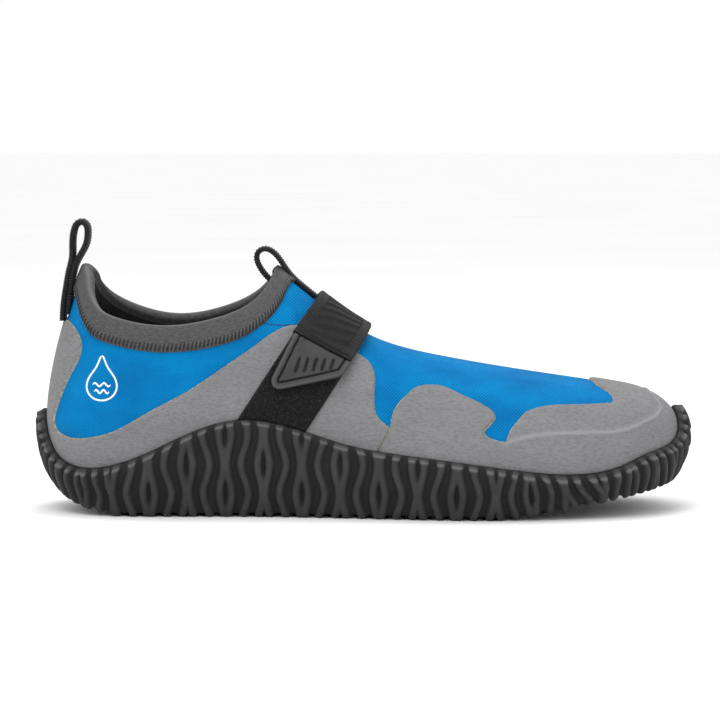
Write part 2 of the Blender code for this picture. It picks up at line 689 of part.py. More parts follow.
sole_rubber = material("sole_rubber", (0.055, 0.055, 0.058), 0.6)
foam = material("foam", (0.2, 0.2, 0.2), 0.9)
board = material("board", (0.5, 0.48, 0.42), 0.9)
plastic = material("stiffener", (0.7, 0.7, 0.66), 0.6)
blue = material("blue_neoprene", (0.01, 0.2, 0.6), 0.8)
dark_lining = material("dark_lining", (0.02, 0.02, 0.022), 0.9)
knit = material("grey_knit", (0.1, 0.1, 0.105), 0.9)
leather = material("grey_leather", (0.2, 0.2, 0.21), 0.6)
web = material("webbing", (0.03, 0.03, 0.032), 0.8)
pile = material("loop_pile", (0.012, 0.012, 0.013), 0.95)
tab_rubber = material("tab_rubber", (0.07, 0.07, 0.072), 0.5)

make_outsole(sole_rubber)
make_slab("midsole", foam, (1.2, -0.9), (4.0, 0), from_floor=True)
make_slab("lasting_board", board, (4.0, 1.0), (4.0, -0.4))
make_slab("footbed", dark_lining, (6.5, 4.6), (6.5, 1.5))
make_upper(blue)
make_collar_band(knit)
make_overlays(leather)
make_inner_parts(plastic, dark_lining)
make_strap(web, tab_rubber, pile)
make_loops(web)
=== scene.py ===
"""Looks of the neoprene water shoe: every visible piece, its materials, and the studio round it.

Lengths are millimetres with x counted from the back of the heel, until to_frame() turns them
into the frame's metres. The upper's form is the one the model was built on: a wall that runs
round the foot (turn 0 at the heel, 1 at the toe, 2 back at the heel; the outer side first) and
rises (rise 0 to 1) from the feather line to the collar edge or the instep ridge.
"""

import math

import bmesh
import bpy
import numpy as np
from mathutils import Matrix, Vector, geometry, kdtree


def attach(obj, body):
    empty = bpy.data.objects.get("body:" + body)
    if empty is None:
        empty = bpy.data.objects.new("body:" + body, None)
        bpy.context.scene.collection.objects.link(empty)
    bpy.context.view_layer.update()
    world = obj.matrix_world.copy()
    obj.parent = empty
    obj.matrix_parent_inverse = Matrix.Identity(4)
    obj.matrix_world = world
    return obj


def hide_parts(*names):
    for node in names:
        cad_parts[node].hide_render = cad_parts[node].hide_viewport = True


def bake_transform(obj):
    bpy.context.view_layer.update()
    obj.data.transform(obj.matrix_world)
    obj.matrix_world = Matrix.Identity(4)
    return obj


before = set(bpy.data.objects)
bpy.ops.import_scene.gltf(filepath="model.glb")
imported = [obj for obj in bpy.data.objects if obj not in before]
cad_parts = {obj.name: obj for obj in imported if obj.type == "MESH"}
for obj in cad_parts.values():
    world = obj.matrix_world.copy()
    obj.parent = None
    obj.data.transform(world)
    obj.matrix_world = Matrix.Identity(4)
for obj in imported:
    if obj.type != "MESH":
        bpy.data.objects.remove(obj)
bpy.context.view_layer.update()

MM = 0.001
# A step in turn or rise, for slopes of the form.
SMALL = 0.0005
# From the back of the heel to the frame's origin.
HEEL_TO_ORIGIN = 145.6
# Station at which the collar edge ends and the instep ridge begins.
COLLAR_FRONT = 0.42
# How steeply the side view looks down, and the length of texture laid over one turn.
VIEW_SLOPE = 0.0785
ROUND_LENGTH = 330.0
SHARP_ANGLE = math.radians(50)
# Numbers of strips across the tread, across the footbed and across faces that stay hidden.
TREAD_ACROSS = 96
FOOTBED_ACROSS = 40
HIDDEN_ACROSS = 4

# The blue panels: thickness with the lining, rows of the mesh, and their reach under the collar band in rise.
NEOPRENE = 2.5
PANEL_ROWS = 60
BAND_OVERLAP = 0.03
# The collar band: height, what is added in front, station of its tip, the way its front leans, its swell,
# the middle and radius of its rolled edge, and the numbers of rows up its outside, over its edge and inside.
BAND_HEIGHT = 11.0
BAND_EXTRA_IN_FRONT = 3.0
BAND_TIP = 0.455
FRONT_LIP = (-0.62, 0, 0.78)
BAND_SWELL = 1.35
ROLL_MIDDLE = -1.25
ROLL_RADIUS = 2.3
BAND_ROWS = (16, 13, 10)

# The tread lifts off the ground behind and in front of these places.
HEEL_LIFT_END = 44.0
HEEL_LIFT = 0.008
TOE_LIFT_START = 198.0
TOE_SLOPE = 0.17
TOE_BEND = 12.0
TREAD_THICK = 3.5
TREAD_RELIEF = 1.6
# The bowl's wall: offsets of its two faces from the form, the depths of the rows over its lip, the number of
# rows down its side and under its bend, and the share of it that follows the form before it turns under.
WALL_IN = 1.35
WALL_OUT = 4.0
LIP_DEPTHS = [0, 0.12, 0.4, 0.75, 1.05, 1.25, 1.5, 1.8, 2.1, 2.5, 2.9, 3.3, 3.7]
SIDE_ROWS = 40
UNDER_ROWS = 26
FORM_SHARE = 0.72
# The rope pattern. Centre and radius of the fans that its strands make round the heel and the toe, and how
# far they spread round the ends.
HEEL_FAN = (38.0, 56.0, 45.0)
TOE_FAN = (205.0, 95.0, 95.0)
ROUND_END = 0.9
# Distance between chains of rings, place and height of the first ring, and length of a wave.
ROPE_SPACING = 33.0
FIRST_RING = 85.8
RING_HEIGHT = 11.0
ROPE_PERIOD = 26.0
# Half distance of a pair of strands, half widths of a strand at its top and foot, and its height.
ROPE_PAIR = 1.6
STRAND_TOP = 1.25
STRAND_FOOT = 2.1
ROPE_HEIGHT = 2.2

# The leather: offset of its face, width and drop of its rounded edge, how much of the cut shows, how far it
# runs down behind the rim, height of the embossed line, and where that line and the front piece's edge
# cross the toe, in rise and in turn.
LEATHER_OUT = 1.3
LEATHER_ROUND = 0.9
LEATHER_DROP = 0.45
EDGE_SHOWS = 0.5
LEATHER_UNDER_RIM = 4.0
RIDGE_RELIEF = 0.55
RIDGE_TOP = 0.78
TOE_CREST = 0.9
# Edges of the leather panels, read from the side.
REAR_EDGE = [
    (14.8, 86.6), (18, 84.1), (21.1, 80.6), (22.8, 76.6), (23, 73.5), (21.6, 69), (18, 62.4),
    (14.5, 54.8), (11.9, 48.2), (10.7, 43.4), (11.9, 38.9), (16.8, 35.6), (22.4, 34.8), (29.3, 35.5),
    (39.4, 38.5), (49.5, 44.1), (59.6, 49.7),
    (69.7, 55.2), (79.8, 61.8), (89.9, 68.9), (100, 76), (107, 81), (111.7, 83), (116.8, 83.6),
    (130, 79), (144, 70.3), (147.2, 67.8), (149.1, 64.7), (149.7, 61), (149.4, 56), (149.4, 50),
    (150.6, 45), (152.8, 42.4), (155.9, 40),
]
FRONT_EDGE = [
    (157.0, 41.2), (158.2, 46.2), (160.8, 50.5), (163.9, 53.6), (167.6, 56.7), (171.3, 57.8), (175, 57.9),
    (179.4, 57.2), (183.7, 55.4), (189.3, 52.7), (193.6, 50.8), (197.3, 48.7), (200.4, 46.2),
    (200.9, 44.3), (199.8, 42.4), (197.3, 40), (196.1, 38.1), (197.3, 36.3), (200.4, 34.7), (203.5, 33.8),
]
TOE_EDGE = [
    (206, 33.8), (206.9, 36.3), (208.4, 39.4), (210.9, 42.4), (214.6, 46.2), (218.9, 48), (224.5, 49),
    (230.3, 49.3), (243.8, 49.5), (250.5, 49.8), (253.2, 50.4), (253.8, 52.1), (252.5, 54.4),
    (249.8, 56.4), (247.1, 58.4),
]
RAND_RIDGE = [
    (205.4, 33.5), (216.8, 36.2), (230.3, 37.2), (243.8, 37.5), (253.9, 37.9), (260.6, 39.6), (267.4, 42.3),
    (272.1, 44.6), (274.8, 47.6),
]
DROP = [
    (32.6, 70.8), (30.6, 67.0), (27.4, 62.2), (25.9, 57.6), (27.6, 53.6), (32.6, 51.6), (37.6, 53.6),
    (39.3, 57.6), (37.8, 62.2), (34.6, 67.0),
]
INSTEP_SEAM = [(101.5, 85.2), (106, 84.4), (110.9, 84.2), (117.5, 84.2)]

# Inset and lift of each ring of the footbed, from its underside over the rim to its top.
FOOTBED_RIM = [(6.7, 1.5), (5.9, 2.2), (5.6, 3.4), (5.9, 4.6), (6.8, 5.2), (8.2, 5.0), (10.5, 4.5)]

# The strap is laid out in two lengths: across it, from its rear to its front edge, and along it, upward.
STRAP_REAR = 52.0
STRAP_FRONT = 79.5
STRAP_WIDTH = STRAP_FRONT - STRAP_REAR
# Offsets of the outer faces of pile, webbing and tab from the form.
PILE_OUT = 2.6
WEB_OUT = 4.8
TAB_OUT = 6.6
# The tab's top edge and the webbing's end climb from the strap's rear edge to its front edge.
TAB_TOP = (129.0, 131.2)
STRAP_END = (128.5, 130.7)
STRAP_COLUMNS = 45
STRAP_OUTER_ROWS = 60
STRAP_INNER_ROWS = 110
PILE_TOP = 130.0
PILE_COLUMNS = 78
PILE_ROWS = 120
PILE_FOOT = [(52.0, 85.9), (56.6, 89.1), (61.2, 91.7), (65.8, 93.7), (70.3, 95.4), (74.9, 96.9), (79.5, 98.2)]
SELVEDGE = 4.6
RIB_PITCH = 1.0
# The webbing's end is raised over the tab's top edge, and sewn through along one seam.
HEM_LIFT = 1.6
HEM_RAMP = (1.0, 8.0)
SEAM_IN = 1.7
# Steps in turn over which a stiff strap evens out the form's directions.
BRIDGE_STEPS = (-0.03, -0.02, -0.01, 0.0, 0.01, 0.02, 0.03)
TAB_OUTLINE = [(52.6, 129.0), (55.3, 106), (59.4, 105.4), (80, 124.6), (79.8, 131.2)]
HOOK_OUTLINE = [(54.2, 128.5), (56.8, 108.5), (60.3, 108), (77.8, 124.5), (78.0, 128.5)]

# The ribbons of the loops: width, points round, and pitch of the woven ribs.
RIBBON_WIDTH = 12.0
RIBBON_SIDES = 40
RIBBON_RIBS = 1.15
# Points, x and z, along the middle line of each loop's ribbon.
HEEL_RIBBON = [
    (12.9, 83.2), (13.3, 90), (14.5, 98), (15.9, 105.4), (17.2, 111), (17.4, 118), (18.1, 122.8),
    (19.7, 125.9), (21.8, 126.5), (23.6, 124.9), (24.1, 121.5), (23.6, 117.6), (21.6, 113.2),
    (19.0, 108.6), (17.6, 104), (16.4, 96), (15.4, 86.0),
]
FRONT_RIBBON = [
    (124.2, 93.6), (118.0, 98.6), (113.4, 102.9), (110.6, 106.6), (108.5, 109.8), (105.4, 113.2),
    (101.8, 114.6), (98.9, 113.2), (98.2, 110.6), (99.4, 107.0), (101.2, 104.2), (104.4, 100.8),
    (108.6, 97.2),
]

# Colours of the cut edge's stained backing cloth and of the print, cracked by the knit under it.
CUT_STAIN = [(0.3, (0.14, 0.13, 0.095)), (0.7, (0.38, 0.36, 0.29))]
PRINT_WHITE = [(0.28, (0.50, 0.60, 0.68)), (0.45, (0.80, 0.82, 0.83))]
WORLD_LIGHT = 1.0
# Name, place, target, size and power.
LIGHTS = [
    ("key", (-0.25, -0.7, 1.2), (0, 0, 0.05), (0.7, 0.7), 7.0),
    ("top", (0.15, 0.25, 1.2), (0, 0, 0.03), (0.8, 0.8), 5.0),
]
FLOOR = 60.0
CAMERA_ELEVATION = 4.5
CAMERA_DISTANCE = 1.2
CAMERA_LENS = 136.0
CAMERA_TARGET = (-0.002, 0.0, 0.0655)

# Station, x, half width on the outer side, half width on the inner side, z.
FEATHER = [
    (0.00, 14, 0, 0, 14), (0.06, 19, 17, 17, 13), (0.14, 35, 27, 26.5, 11.5),
    (0.24, 66, 29, 27.5, 11), (0.34, 98, 29.5, 26.5, 12), (0.42, 122, 32, 28.5, 12),
    (0.54, 158, 38, 36, 11), (0.66, 194, 42.5, 41.5, 10.5), (0.76, 224, 40.5, 42, 12),
    (0.86, 254, 32.5, 37.5, 15), (0.94, 273, 16, 24, 18.5), (1.00, 280, -4, 4, 20),
]
BELLY = [
    (0.00, -2, 0, 0, 34), (0.06, 4.5, 26, 26, 32), (0.14, 33, 41, 40.5, 30),
    (0.24, 66, 43, 42, 30), (0.34, 98, 42, 39, 33), (0.42, 122, 45, 41, 34),
    (0.54, 158, 52.5, 50, 30), (0.66, 196, 58.5, 58, 28), (0.76, 230, 56, 58.5, 29),
    (0.86, 263, 43, 49.5, 31), (0.94, 284, 21, 30, 35), (1.00, 291, -4, 4, 37),
]
SHOULDER = [
    (0.00, 12, 0, 0, 78), (0.06, 16, 17, 17, 70), (0.14, 33, 33, 33, 66),
    (0.24, 63, 37, 37, 62), (0.34, 97, 34, 34, 72), (0.42, 124, 32, 32, 90),
    (0.54, 150, 32, 33, 76), (0.66, 188, 40, 42, 66.5), (0.76, 219, 41, 44, 60.5),
    (0.86, 250, 33, 38, 56), (0.94, 273, 14, 23, 53), (1.00, 280, -4, 4, 52),
]
# Station, x, half width, z on the outer side, z on the inner side along the collar edge.
COLLAR = [
    (0.000, 22.5, 0, 107.5, 107.5), (0.035, 24.6, 9, 103.5, 105.2), (0.070, 26.0, 14.5, 96.5, 101.2),
    (0.100, 29.5, 19.5, 90, 96.6), (0.140, 36.5, 23.5, 85.8, 91.4), (0.190, 49, 26.5, 82.8, 86.2),
    (0.250, 65, 27.5, 82.2, 84), (0.310, 82, 26, 85.3, 87.2), (0.355, 94.5, 21, 90.3, 92.6),
    (0.385, 101.5, 15, 96.2, 98), (0.405, 105.6, 8.5, 102.5, 103.2), (0.420, 107.3, 0, 106.5, 106.5),
]
# Station, x, y, z along the top of the instep and toes.
RIDGE = [
    (0.42, 107.3, 0, 106.5), (0.46, 117.5, 0, 97.2), (0.50, 128.5, 0, 88.5),
    (0.54, 141.5, 0, 80), (0.60, 160, 0, 72), (0.66, 180, 0, 67.2), (0.76, 211, 1, 61.8),
    (0.86, 237, 2.2, 57.8), (0.94, 251, 3.3, 55.6), (1.00, 256, 4, 54.8),
]
# Station and z of the sole's upper edge: heel cup, waist peak under the strap, toe bumper.
SOLE_EDGE = [
    (0.00, 44), (0.03, 37.5), (0.055, 28.5), (0.085, 23), (0.125, 21.8), (0.185, 26.8),
    (0.246, 35.5), (0.33, 42.6), (0.401, 38.7), (0.478, 32), (0.578, 27.5), (0.70, 22.8),
    (0.787, 20.5), (0.856, 23.5), (0.89, 27.3), (0.93, 29.8), (0.965, 35), (1.00, 43.5),
]
# The strap runs in planes square to the instep: ACROSS is its width, ALONG its length.
ACROSS = np.array((0.833, -0.554))
ALONG = np.array((0.554, 0.833))


def spline(knots, values, closed=False):
    """Return a smooth curve through values at knots; a closed one repeats its first value."""
    knots = np.array(knots, dtype=float)
    values = np.array(values, dtype=float)
    step = np.diff(knots)
    slope = np.diff(values, axis=0) / step[:, None]
    count = len(knots)
    matrix = np.eye(count)
    right = np.zeros_like(values)
    for i in range(1, count - 1):
        matrix[i, i - 1:i + 2] = step[i - 1], 2 * (step[i - 1] + step[i]), step[i]
        right[i] = 6 * (slope[i] - slope[i - 1])
    if closed:
        matrix[0, 0] = 2 * (step[0] + step[-1])
        matrix[0, 1] = step[0]
        matrix[0, -2] = step[-1]
        right[0] = 6 * (slope[0] - slope[-1])
        matrix[-1, 0] = -1
    bend = np.linalg.solve(matrix, right)

    def curve(place):
        place = np.asarray(place, dtype=float)
        i = np.clip(np.searchsorted(knots, place, side="right") - 1, 0, count - 2)
        width = step[i][..., None]
        before = (knots[i + 1] - place)[..., None] / width
        after = 1 - before
        bow = (before**3 - before) * bend[i] + (after**3 - after) * bend[i + 1]
        return before * values[i] + after * values[i + 1] + bow * width**2 / 6

    return curve


def table_curve(table, closed=False):
    """Return a smooth curve through a table of rows, each a knot and its values."""
    return spline([row[0] for row in table], [row[1:] for row in table], closed)


def closed_row(rows):
    """Turn a table of half widths into one closed curve: outer side 0 to 1, inner side 1 to 2."""
    outer = [(s, x, -a, z) for s, x, a, _, z in rows]
    inner = [(2 - s, x, b, z) for s, x, _, b, z in reversed(rows[:-1])]
    return table_curve(outer + inner, closed=True)


def collar_curve():
    """Return the closed collar edge, from -front round the heel at 0 to +front on the outer side."""
    inner = [(-s, x, y, z) for s, x, y, _, z in reversed(COLLAR[1:])]
    outer = [(s, x, -y, z) for s, x, y, z, _ in COLLAR]
    return table_curve(inner + outer, closed=True)


feather = closed_row(FEATHER)
belly = closed_row(BELLY)
shoulder = closed_row(SHOULDER)
collar = collar_curve()
ridge = table_curve(RIDGE)
MIRRORED_EDGE = (
    [(-s, z) for s, z in reversed(SOLE_EDGE[1:3])] + SOLE_EDGE
    + [(2 - s, z) for s, z in reversed(SOLE_EDGE[-3:-1])]
)
sole_edge = table_curve(MIRRORED_EDGE)


def station(turn):
    """Return the station, 0 at the heel to 1 at the toe, of a place round the shoe."""
    return np.minimum(turn, 2 - turn)


def top(turn):
    """Return the upper end of the wall: the collar edge behind, the ridge in front."""
    on_collar = collar(np.where(turn <= 1, turn, turn - 2).clip(-COLLAR_FRONT, COLLAR_FRONT))
    on_ridge = ridge(station(turn).clip(COLLAR_FRONT, 1))
    return np.where((station(turn) <= COLLAR_FRONT)[..., None], on_collar, on_ridge)


def form(turn, rise):
    """Return points of the upper's outer face: turn 0 to 2 round the foot, rise 0 to 1 up the wall."""
    turn = np.asarray(turn, dtype=float) % 2
    rise = np.asarray(rise, dtype=float)[..., None]
    fall = 1 - rise
    lower = fall**3 * feather(turn) + 3 * fall**2 * rise * belly(turn)
    return lower + 3 * fall * rise**2 * shoulder(turn) + rise**3 * top(turn)


def unit(vectors):
    """Scale vectors to length one."""
    return vectors / np.maximum(np.linalg.norm(vectors, axis=-1, keepdims=True), 1e-12)


def run_length(line):
    """Return the length run along a line, or along each column of a grid, from the first row."""
    steps = np.linalg.norm(np.diff(line, axis=0), axis=-1)
    return np.concatenate([np.zeros((1,) + steps.shape[1:]), np.cumsum(steps, axis=0)])


def normal(turn, rise):
    """Return the outward direction of the form."""
    turn = np.asarray(turn, dtype=float) % 2
    rise = np.asarray(rise, dtype=float)
    along = form(turn + SMALL, rise) - form(turn - SMALL, rise)
    up = form(turn, rise + SMALL) - form(turn, rise - SMALL)
    outward = unit(np.cross(along, up))
    places = station(turn)
    run = ridge((places + SMALL).clip(COLLAR_FRONT, 1)) - ridge((places - SMALL).clip(COLLAR_FRONT, 1))
    run[..., 1] = 0
    run[..., 0] += (places < COLLAR_FRONT) * 1.0
    crest = unit(np.stack([-run[..., 2], run[..., 1], run[..., 0]], axis=-1))
    on_ridge = (rise > 0.9999) & (places >= COLLAR_FRONT - 1e-9)
    return np.where(on_ridge[..., None], crest, outward)


def layer(turn, rise, offset):
    """Return points at an offset from the form, in the shoe's frame and in metres."""
    return to_frame(form(turn, rise) + np.asarray(offset)[..., None] * normal(turn, rise))


def bridging_layer(turn, rise, offset):
    """Return layer points with directions evened out along the turn, as a stiff strap bridges a crease."""
    outward = unit(sum(normal(turn + step, rise) for step in BRIDGE_STEPS))
    return to_frame(form(turn, rise) + np.asarray(offset)[..., None] * outward)


def to_frame(points):
    """Move points from heel-based millimetres to the shoe's own frame in metres."""
    return (np.asarray(points) - (HEEL_TO_ORIGIN, 0, 0)) * MM


def rise_at_height(turn, height):
    """Return the rise at which the wall passes a height."""
    low = np.zeros_like(np.asarray(turn, dtype=float))
    high = np.ones_like(low)
    for _ in range(30):
        middle = (low + high) / 2
        below = form(turn, middle)[..., 2] < height
        low = np.where(below, middle, low)
        high = np.where(below, high, middle)
    return (low + high) / 2


def on_side(x, z):
    """Return turn and rise of points given by x and z on the outer side of the shoe."""
    x = np.asarray(x, dtype=float)
    z = np.asarray(z, dtype=float)
    turn = np.interp(x, [row[1] for row in FEATHER], [row[0] for row in FEATHER])
    rise = rise_at_height(turn, z)
    for _ in range(25):
        here = form(turn, rise)
        by_turn = (form(turn + SMALL, rise) - here) / SMALL
        by_rise = (form(turn, rise + SMALL) - here) / SMALL
        miss_x = x - here[..., 0]
        miss_z = z - here[..., 2]
        scale = by_turn[..., 0] * by_rise[..., 2] - by_rise[..., 0] * by_turn[..., 2]
        scale = np.where(np.abs(scale) < 1, 1, scale)
        turn = turn + ((miss_x * by_rise[..., 2] - miss_z * by_rise[..., 0]) / scale).clip(-0.03, 0.03)
        rise = rise + ((miss_z * by_turn[..., 0] - miss_x * by_turn[..., 2]) / scale).clip(-0.08, 0.08)
        turn = turn.clip(0.002, 0.998)
        rise = rise.clip(0, 1)
    return turn, rise


def sole_edge_rise(turn, below=0.0):
    """Return the rise of the sole's upper edge, lowered by a length."""
    return rise_at_height(turn, sole_edge(station(turn))[..., 0] - below)


def bottom_height(x):
    """Return the height of the tread: flat under the foot, curved up at heel and toe."""
    heel = np.maximum(0, HEEL_LIFT_END - x)
    toe = np.maximum(0, x - TOE_LIFT_START)
    return HEEL_LIFT * heel**2 + TOE_SLOPE * (np.hypot(toe, TOE_BEND) - TOE_BEND)


def strap_turn(across, rise, outer_side=True):
    """Return the place round the shoe where a plane of the strap meets a rise."""
    low = np.full(np.shape(rise), 0.15)
    high = np.full(np.shape(rise), 0.85)
    for _ in range(30):
        middle = (low + high) / 2
        turn = middle if outer_side else 2 - middle
        behind = form(turn, rise)[..., [0, 2]] @ ACROSS < across
        low = np.where(behind, middle, low)
        high = np.where(behind, high, middle)
    return (low + high) / 2 if outer_side else 2 - (low + high) / 2


def strap_points(across, along):
    """Return turn and rise on the outer side of places given across and along the strap."""
    across = np.asarray(across, dtype=float)[..., None]
    along = np.asarray(along, dtype=float)[..., None]
    seen = across * ACROSS + along * ALONG
    return on_side(seen[..., 0], seen[..., 1])


class Finish:
    """One procedural material. Its textures sit on the object's own coordinates, in metres."""

    def __init__(self, name, roughness, coordinates="Object"):
        self.material = bpy.data.materials.new(name)
        self.material.use_nodes = True
        self.tree = self.material.node_tree
        self.shader = self.tree.nodes["Principled BSDF"]
        self.shader.inputs["Roughness"].default_value = roughness
        self.shader.inputs["Specular IOR Level"].default_value = 0.2
        self.place = self.tree.nodes.new("ShaderNodeTexCoord").outputs[coordinates]

    def node(self, kind, settings=(), **inputs):
        """Add a node; inputs are sockets or numbers, keyed by socket name or as _0, _1 by position."""
        made = self.tree.nodes.new(kind)
        for key, value in dict(settings).items():
            setattr(made, key, value)
        for key, value in inputs.items():
            socket = made.inputs[int(key[1:])] if key[0] == "_" else made.inputs[key]
            if isinstance(value, bpy.types.NodeSocket):
                self.tree.links.new(value, socket)
            else:
                socket.default_value = value
        return made

    def stretched(self, size, turn=(0, 0, 0)):
        """Return coordinates scaled so that one texture cell measures size, in millimetres."""
        scale = [1 / (value * MM) for value in size]
        return self.node("ShaderNodeMapping", Vector=self.place, Scale=scale, Rotation=turn).outputs[0]

    def noise(self, size, detail=2.0, turn=(0, 0, 0)):
        """Return a noise between 0 and 1 whose cells measure size in millimetres."""
        size = (size,) * 3 if np.isscalar(size) else size
        made = self.node("ShaderNodeTexNoise", Vector=self.stretched(size, turn), Scale=1.0, Detail=detail)
        return made.outputs[0]

    def cells(self, size, feature="F1", output=0):
        """Return a Voronoi pattern whose cells measure size in millimetres."""
        size = (size,) * 3 if np.isscalar(size) else size
        place = self.stretched(size)
        made = self.node("ShaderNodeTexVoronoi", {"feature": feature}, Vector=place, Scale=1.0)
        return made.outputs[output]

    def lines(self, pitch, turn=(0, 0, 0), waver=0.0):
        """Return parallel lines across X at a pitch in millimetres, turned by Euler angles."""
        size = (pitch,) * 3
        settings = {"wave_type": "BANDS", "bands_direction": "X"}
        made = self.node(
            "ShaderNodeTexWave", settings, Vector=self.stretched(size, turn), Scale=math.pi / 10,
            Distortion=waver, Detail=1.0,
        )
        return made.outputs["Fac"]

    def math(self, operation, a, b):
        """Return one arithmetic step."""
        return self.node("ShaderNodeMath", {"operation": operation}, _0=a, _1=b).outputs[0]

    def ramp(self, value, stops):
        """Return a colour that runs through stops of position and colour."""
        made = self.node("ShaderNodeValToRGB", _0=value)
        stretch = made.color_ramp.elements
        while len(stretch) < len(stops):
            stretch.new(0.5)
        for element, (position, colour) in zip(stretch, stops):
            element.position = position
            element.color = rgba(colour)
        return made.outputs[0]

    def clouds(self, size, detail, *stops):
        """Return a noise coloured by stops of position and colour."""
        return self.ramp(self.noise(size, detail), stops)

    def mix(self, share, a, b, how="MIX"):
        """Return two colours mixed."""
        settings = {"data_type": "RGBA", "blend_type": how}
        return self.node("ShaderNodeMix", settings, _0=share, _6=rgba(a), _7=rgba(b)).outputs[2]

    def shade(self, share, base, colour):
        """Return a colour multiplied by another one where share is 0, and as it is where share is 1."""
        return self.mix(share, self.mix(1.0, base, colour, "MULTIPLY"), base)

    def attribute(self, name):
        """Return a value stored on the mesh's points."""
        return self.node("ShaderNodeAttribute", {"attribute_name": name}).outputs["Fac"]

    def colour(self, socket):
        """Use a colour for the surface."""
        self.tree.links.new(socket, self.shader.inputs["Base Color"])
        return self

    def bump(self, height, depth, strength=1.0):
        """Add relief of a depth in millimetres."""
        inputs = {"Height": height, "Distance": depth * MM, "Strength": strength}
        before = self.shader.inputs["Normal"].links
        if before:
            inputs["Normal"] = before[0].from_socket
        made = self.node("ShaderNodeBump", **inputs)
        self.tree.links.new(made.outputs[0], self.shader.inputs["Normal"])
        return self

    def rough(self, value, low, high):
        """Let the roughness follow a value from low to high."""
        made = self.node("ShaderNodeMapRange", _0=value, _3=low, _4=high)
        self.tree.links.new(made.outputs[0], self.shader.inputs["Roughness"])
        return self

    def sheen(self, weight, roughness=0.5, tint=(1, 1, 1)):
        """Add the soft rim light of short fibres."""
        self.shader.inputs["Sheen Weight"].default_value = weight
        self.shader.inputs["Sheen Roughness"].default_value = roughness
        self.shader.inputs["Sheen Tint"].default_value = (*tint, 1)
        return self


def grey(value, tint):
    """Return a linear grey with a slight tint."""
    return tuple(value * part for part in tint)


def rgba(colour):
    """Return a colour with its alpha. A number is a grey; a socket stays as it is."""
    if isinstance(colour, bpy.types.NodeSocket):
        return colour
    return (colour, colour, colour, 1) if np.isscalar(colour) else (*colour, 1)


def make_sole_rubber():
    """Matte charcoal rubber: moulded grain, painted shade in the grooves, worn strand ends."""
    f = Finish("sole_rubber", 0.62)
    base = f.clouds(9, 4, (0.3, 0.028), (0.7, grey(0.040, (1, 1, 1.02))))
    # Painted shade: off the strands (crest 0) the colour is darkened to 0.3, so the grooves look shaded.
    base = f.shade(f.attribute("crest"), base, 0.3)
    f.colour(f.mix(f.attribute("worn"), base, grey(0.10, (1, 0.99, 0.97))))
    f.rough(f.noise(3, 3), 0.5, 0.75)
    return f.bump(f.noise(0.35, 3), 0.05).material


def make_neoprene():
    """Blue knit jersey on neoprene: fine diagonal ribs, slight fading and a soft fibre sheen."""
    f = Finish("blue_neoprene", 0.72, "UV")
    ribs = f.lines(1.05, (0, 0, math.radians(48)), 0.25)
    stitches = f.lines(0.55, (0, 0, math.radians(-42)), 0.3)
    base = f.clouds((24, 14, 10), 3, (0.3, (0.0004, 0.170, 0.43)), (0.72, (0.0006, 0.245, 0.57)))
    base = f.shade(ribs, base, (0.62, 0.70, 0.76))
    f.colour(f.shade(f.noise(0.5, 2), base, (0.82, 0.86, 0.88)))
    f.rough(ribs, 0.85, 0.66)
    f.bump(ribs, 0.16).bump(stitches, 0.05).bump(f.noise(0.4, 2), 0.05)
    f.shader.inputs["Specular IOR Level"].default_value = 0.06
    return f.sheen(0.01, 0.4, (0.1, 0.6, 1.0)).material


def make_leather_finish():
    """Grey synthetic leather: fine wavy wrinkles, faint clouds, a painted highlight along the embossed line.
    """
    f = Finish("grey_leather", 0.6)
    wrinkles = f.noise((1.9, 1.9, 0.75), 3)
    pores = f.cells((1.3, 1.3, 0.8), "DISTANCE_TO_EDGE")
    base = f.clouds((30, 20, 14), 4, (0.28, grey(0.172, (1, 1, 1.03))), (0.75, grey(0.205, (1, 1, 1.025))))
    base = f.mix(1.0, base, f.ramp(wrinkles, [(0.36, 0.8), (0.56, 1.0)]), "MULTIPLY")
    # Painted highlight: the embossed line (the ridge value) is lightened towards a pale grey.
    f.colour(f.mix(f.attribute("ridge"), base, grey(0.27, (1, 1, 1.02))))
    f.rough(f.noise(1.6, 3), 0.5, 0.72)
    return f.bump(wrinkles, 0.3, 0.9).bump(pores, 0.06).bump(f.noise(6.0, 2), 0.12).material


def speckled(name, roughness, size, detail, stops, grain, depth, sheen=0.0):
    """Return a plain finish: one speckled colour and one fine relief."""
    f = Finish(name, roughness)
    f.colour(f.clouds(size, detail, *stops)).bump(f.noise(grain, 2), depth)
    return f.sheen(sheen).material if sheen else f.material


def make_thread(name, low, high):
    """Sewing thread with its twist; the dark blue one is painted shade along the instep seam."""
    return speckled(name, 0.7, 0.5, 3, [(0.3, low), (0.7, high)], 0.25, 0.08, 0.2)


def make_hidden(name, low, high, size):
    """Plain inner material with its own speckle."""
    return speckled(name, 0.85, size, 4, [(0.3, low), (0.7, high)], size / 3, 0.1)


def make_heather():
    """Brushed grey heather knit of the collar band."""
    f = Finish("grey_knit", 0.9, "UV")
    specks = f.noise((0.55, 0.4, 1), 2)
    base = f.clouds((2.6, 0.55, 1), 4, (0.25, 0.050), (0.5, 0.082), (0.78, 0.135))
    f.colour(f.mix(f.attribute("worn"), f.shade(specks, base, 0.66), 0.19))
    f.bump(f.lines(0.6, (0, 0, math.pi / 2), 0.6), 0.1).bump(specks, 0.16)
    return f.sheen(0.1).material


def make_lining():
    """Charcoal loop knit that lines the inside."""
    f = Finish("dark_lining", 0.92)
    f.colour(f.clouds(0.9, 3, (0.3, 0.009), (0.7, 0.022)))
    return f.bump(f.cells(0.7), 0.2).bump(f.noise(6, 2), 0.3).sheen(0.06).material


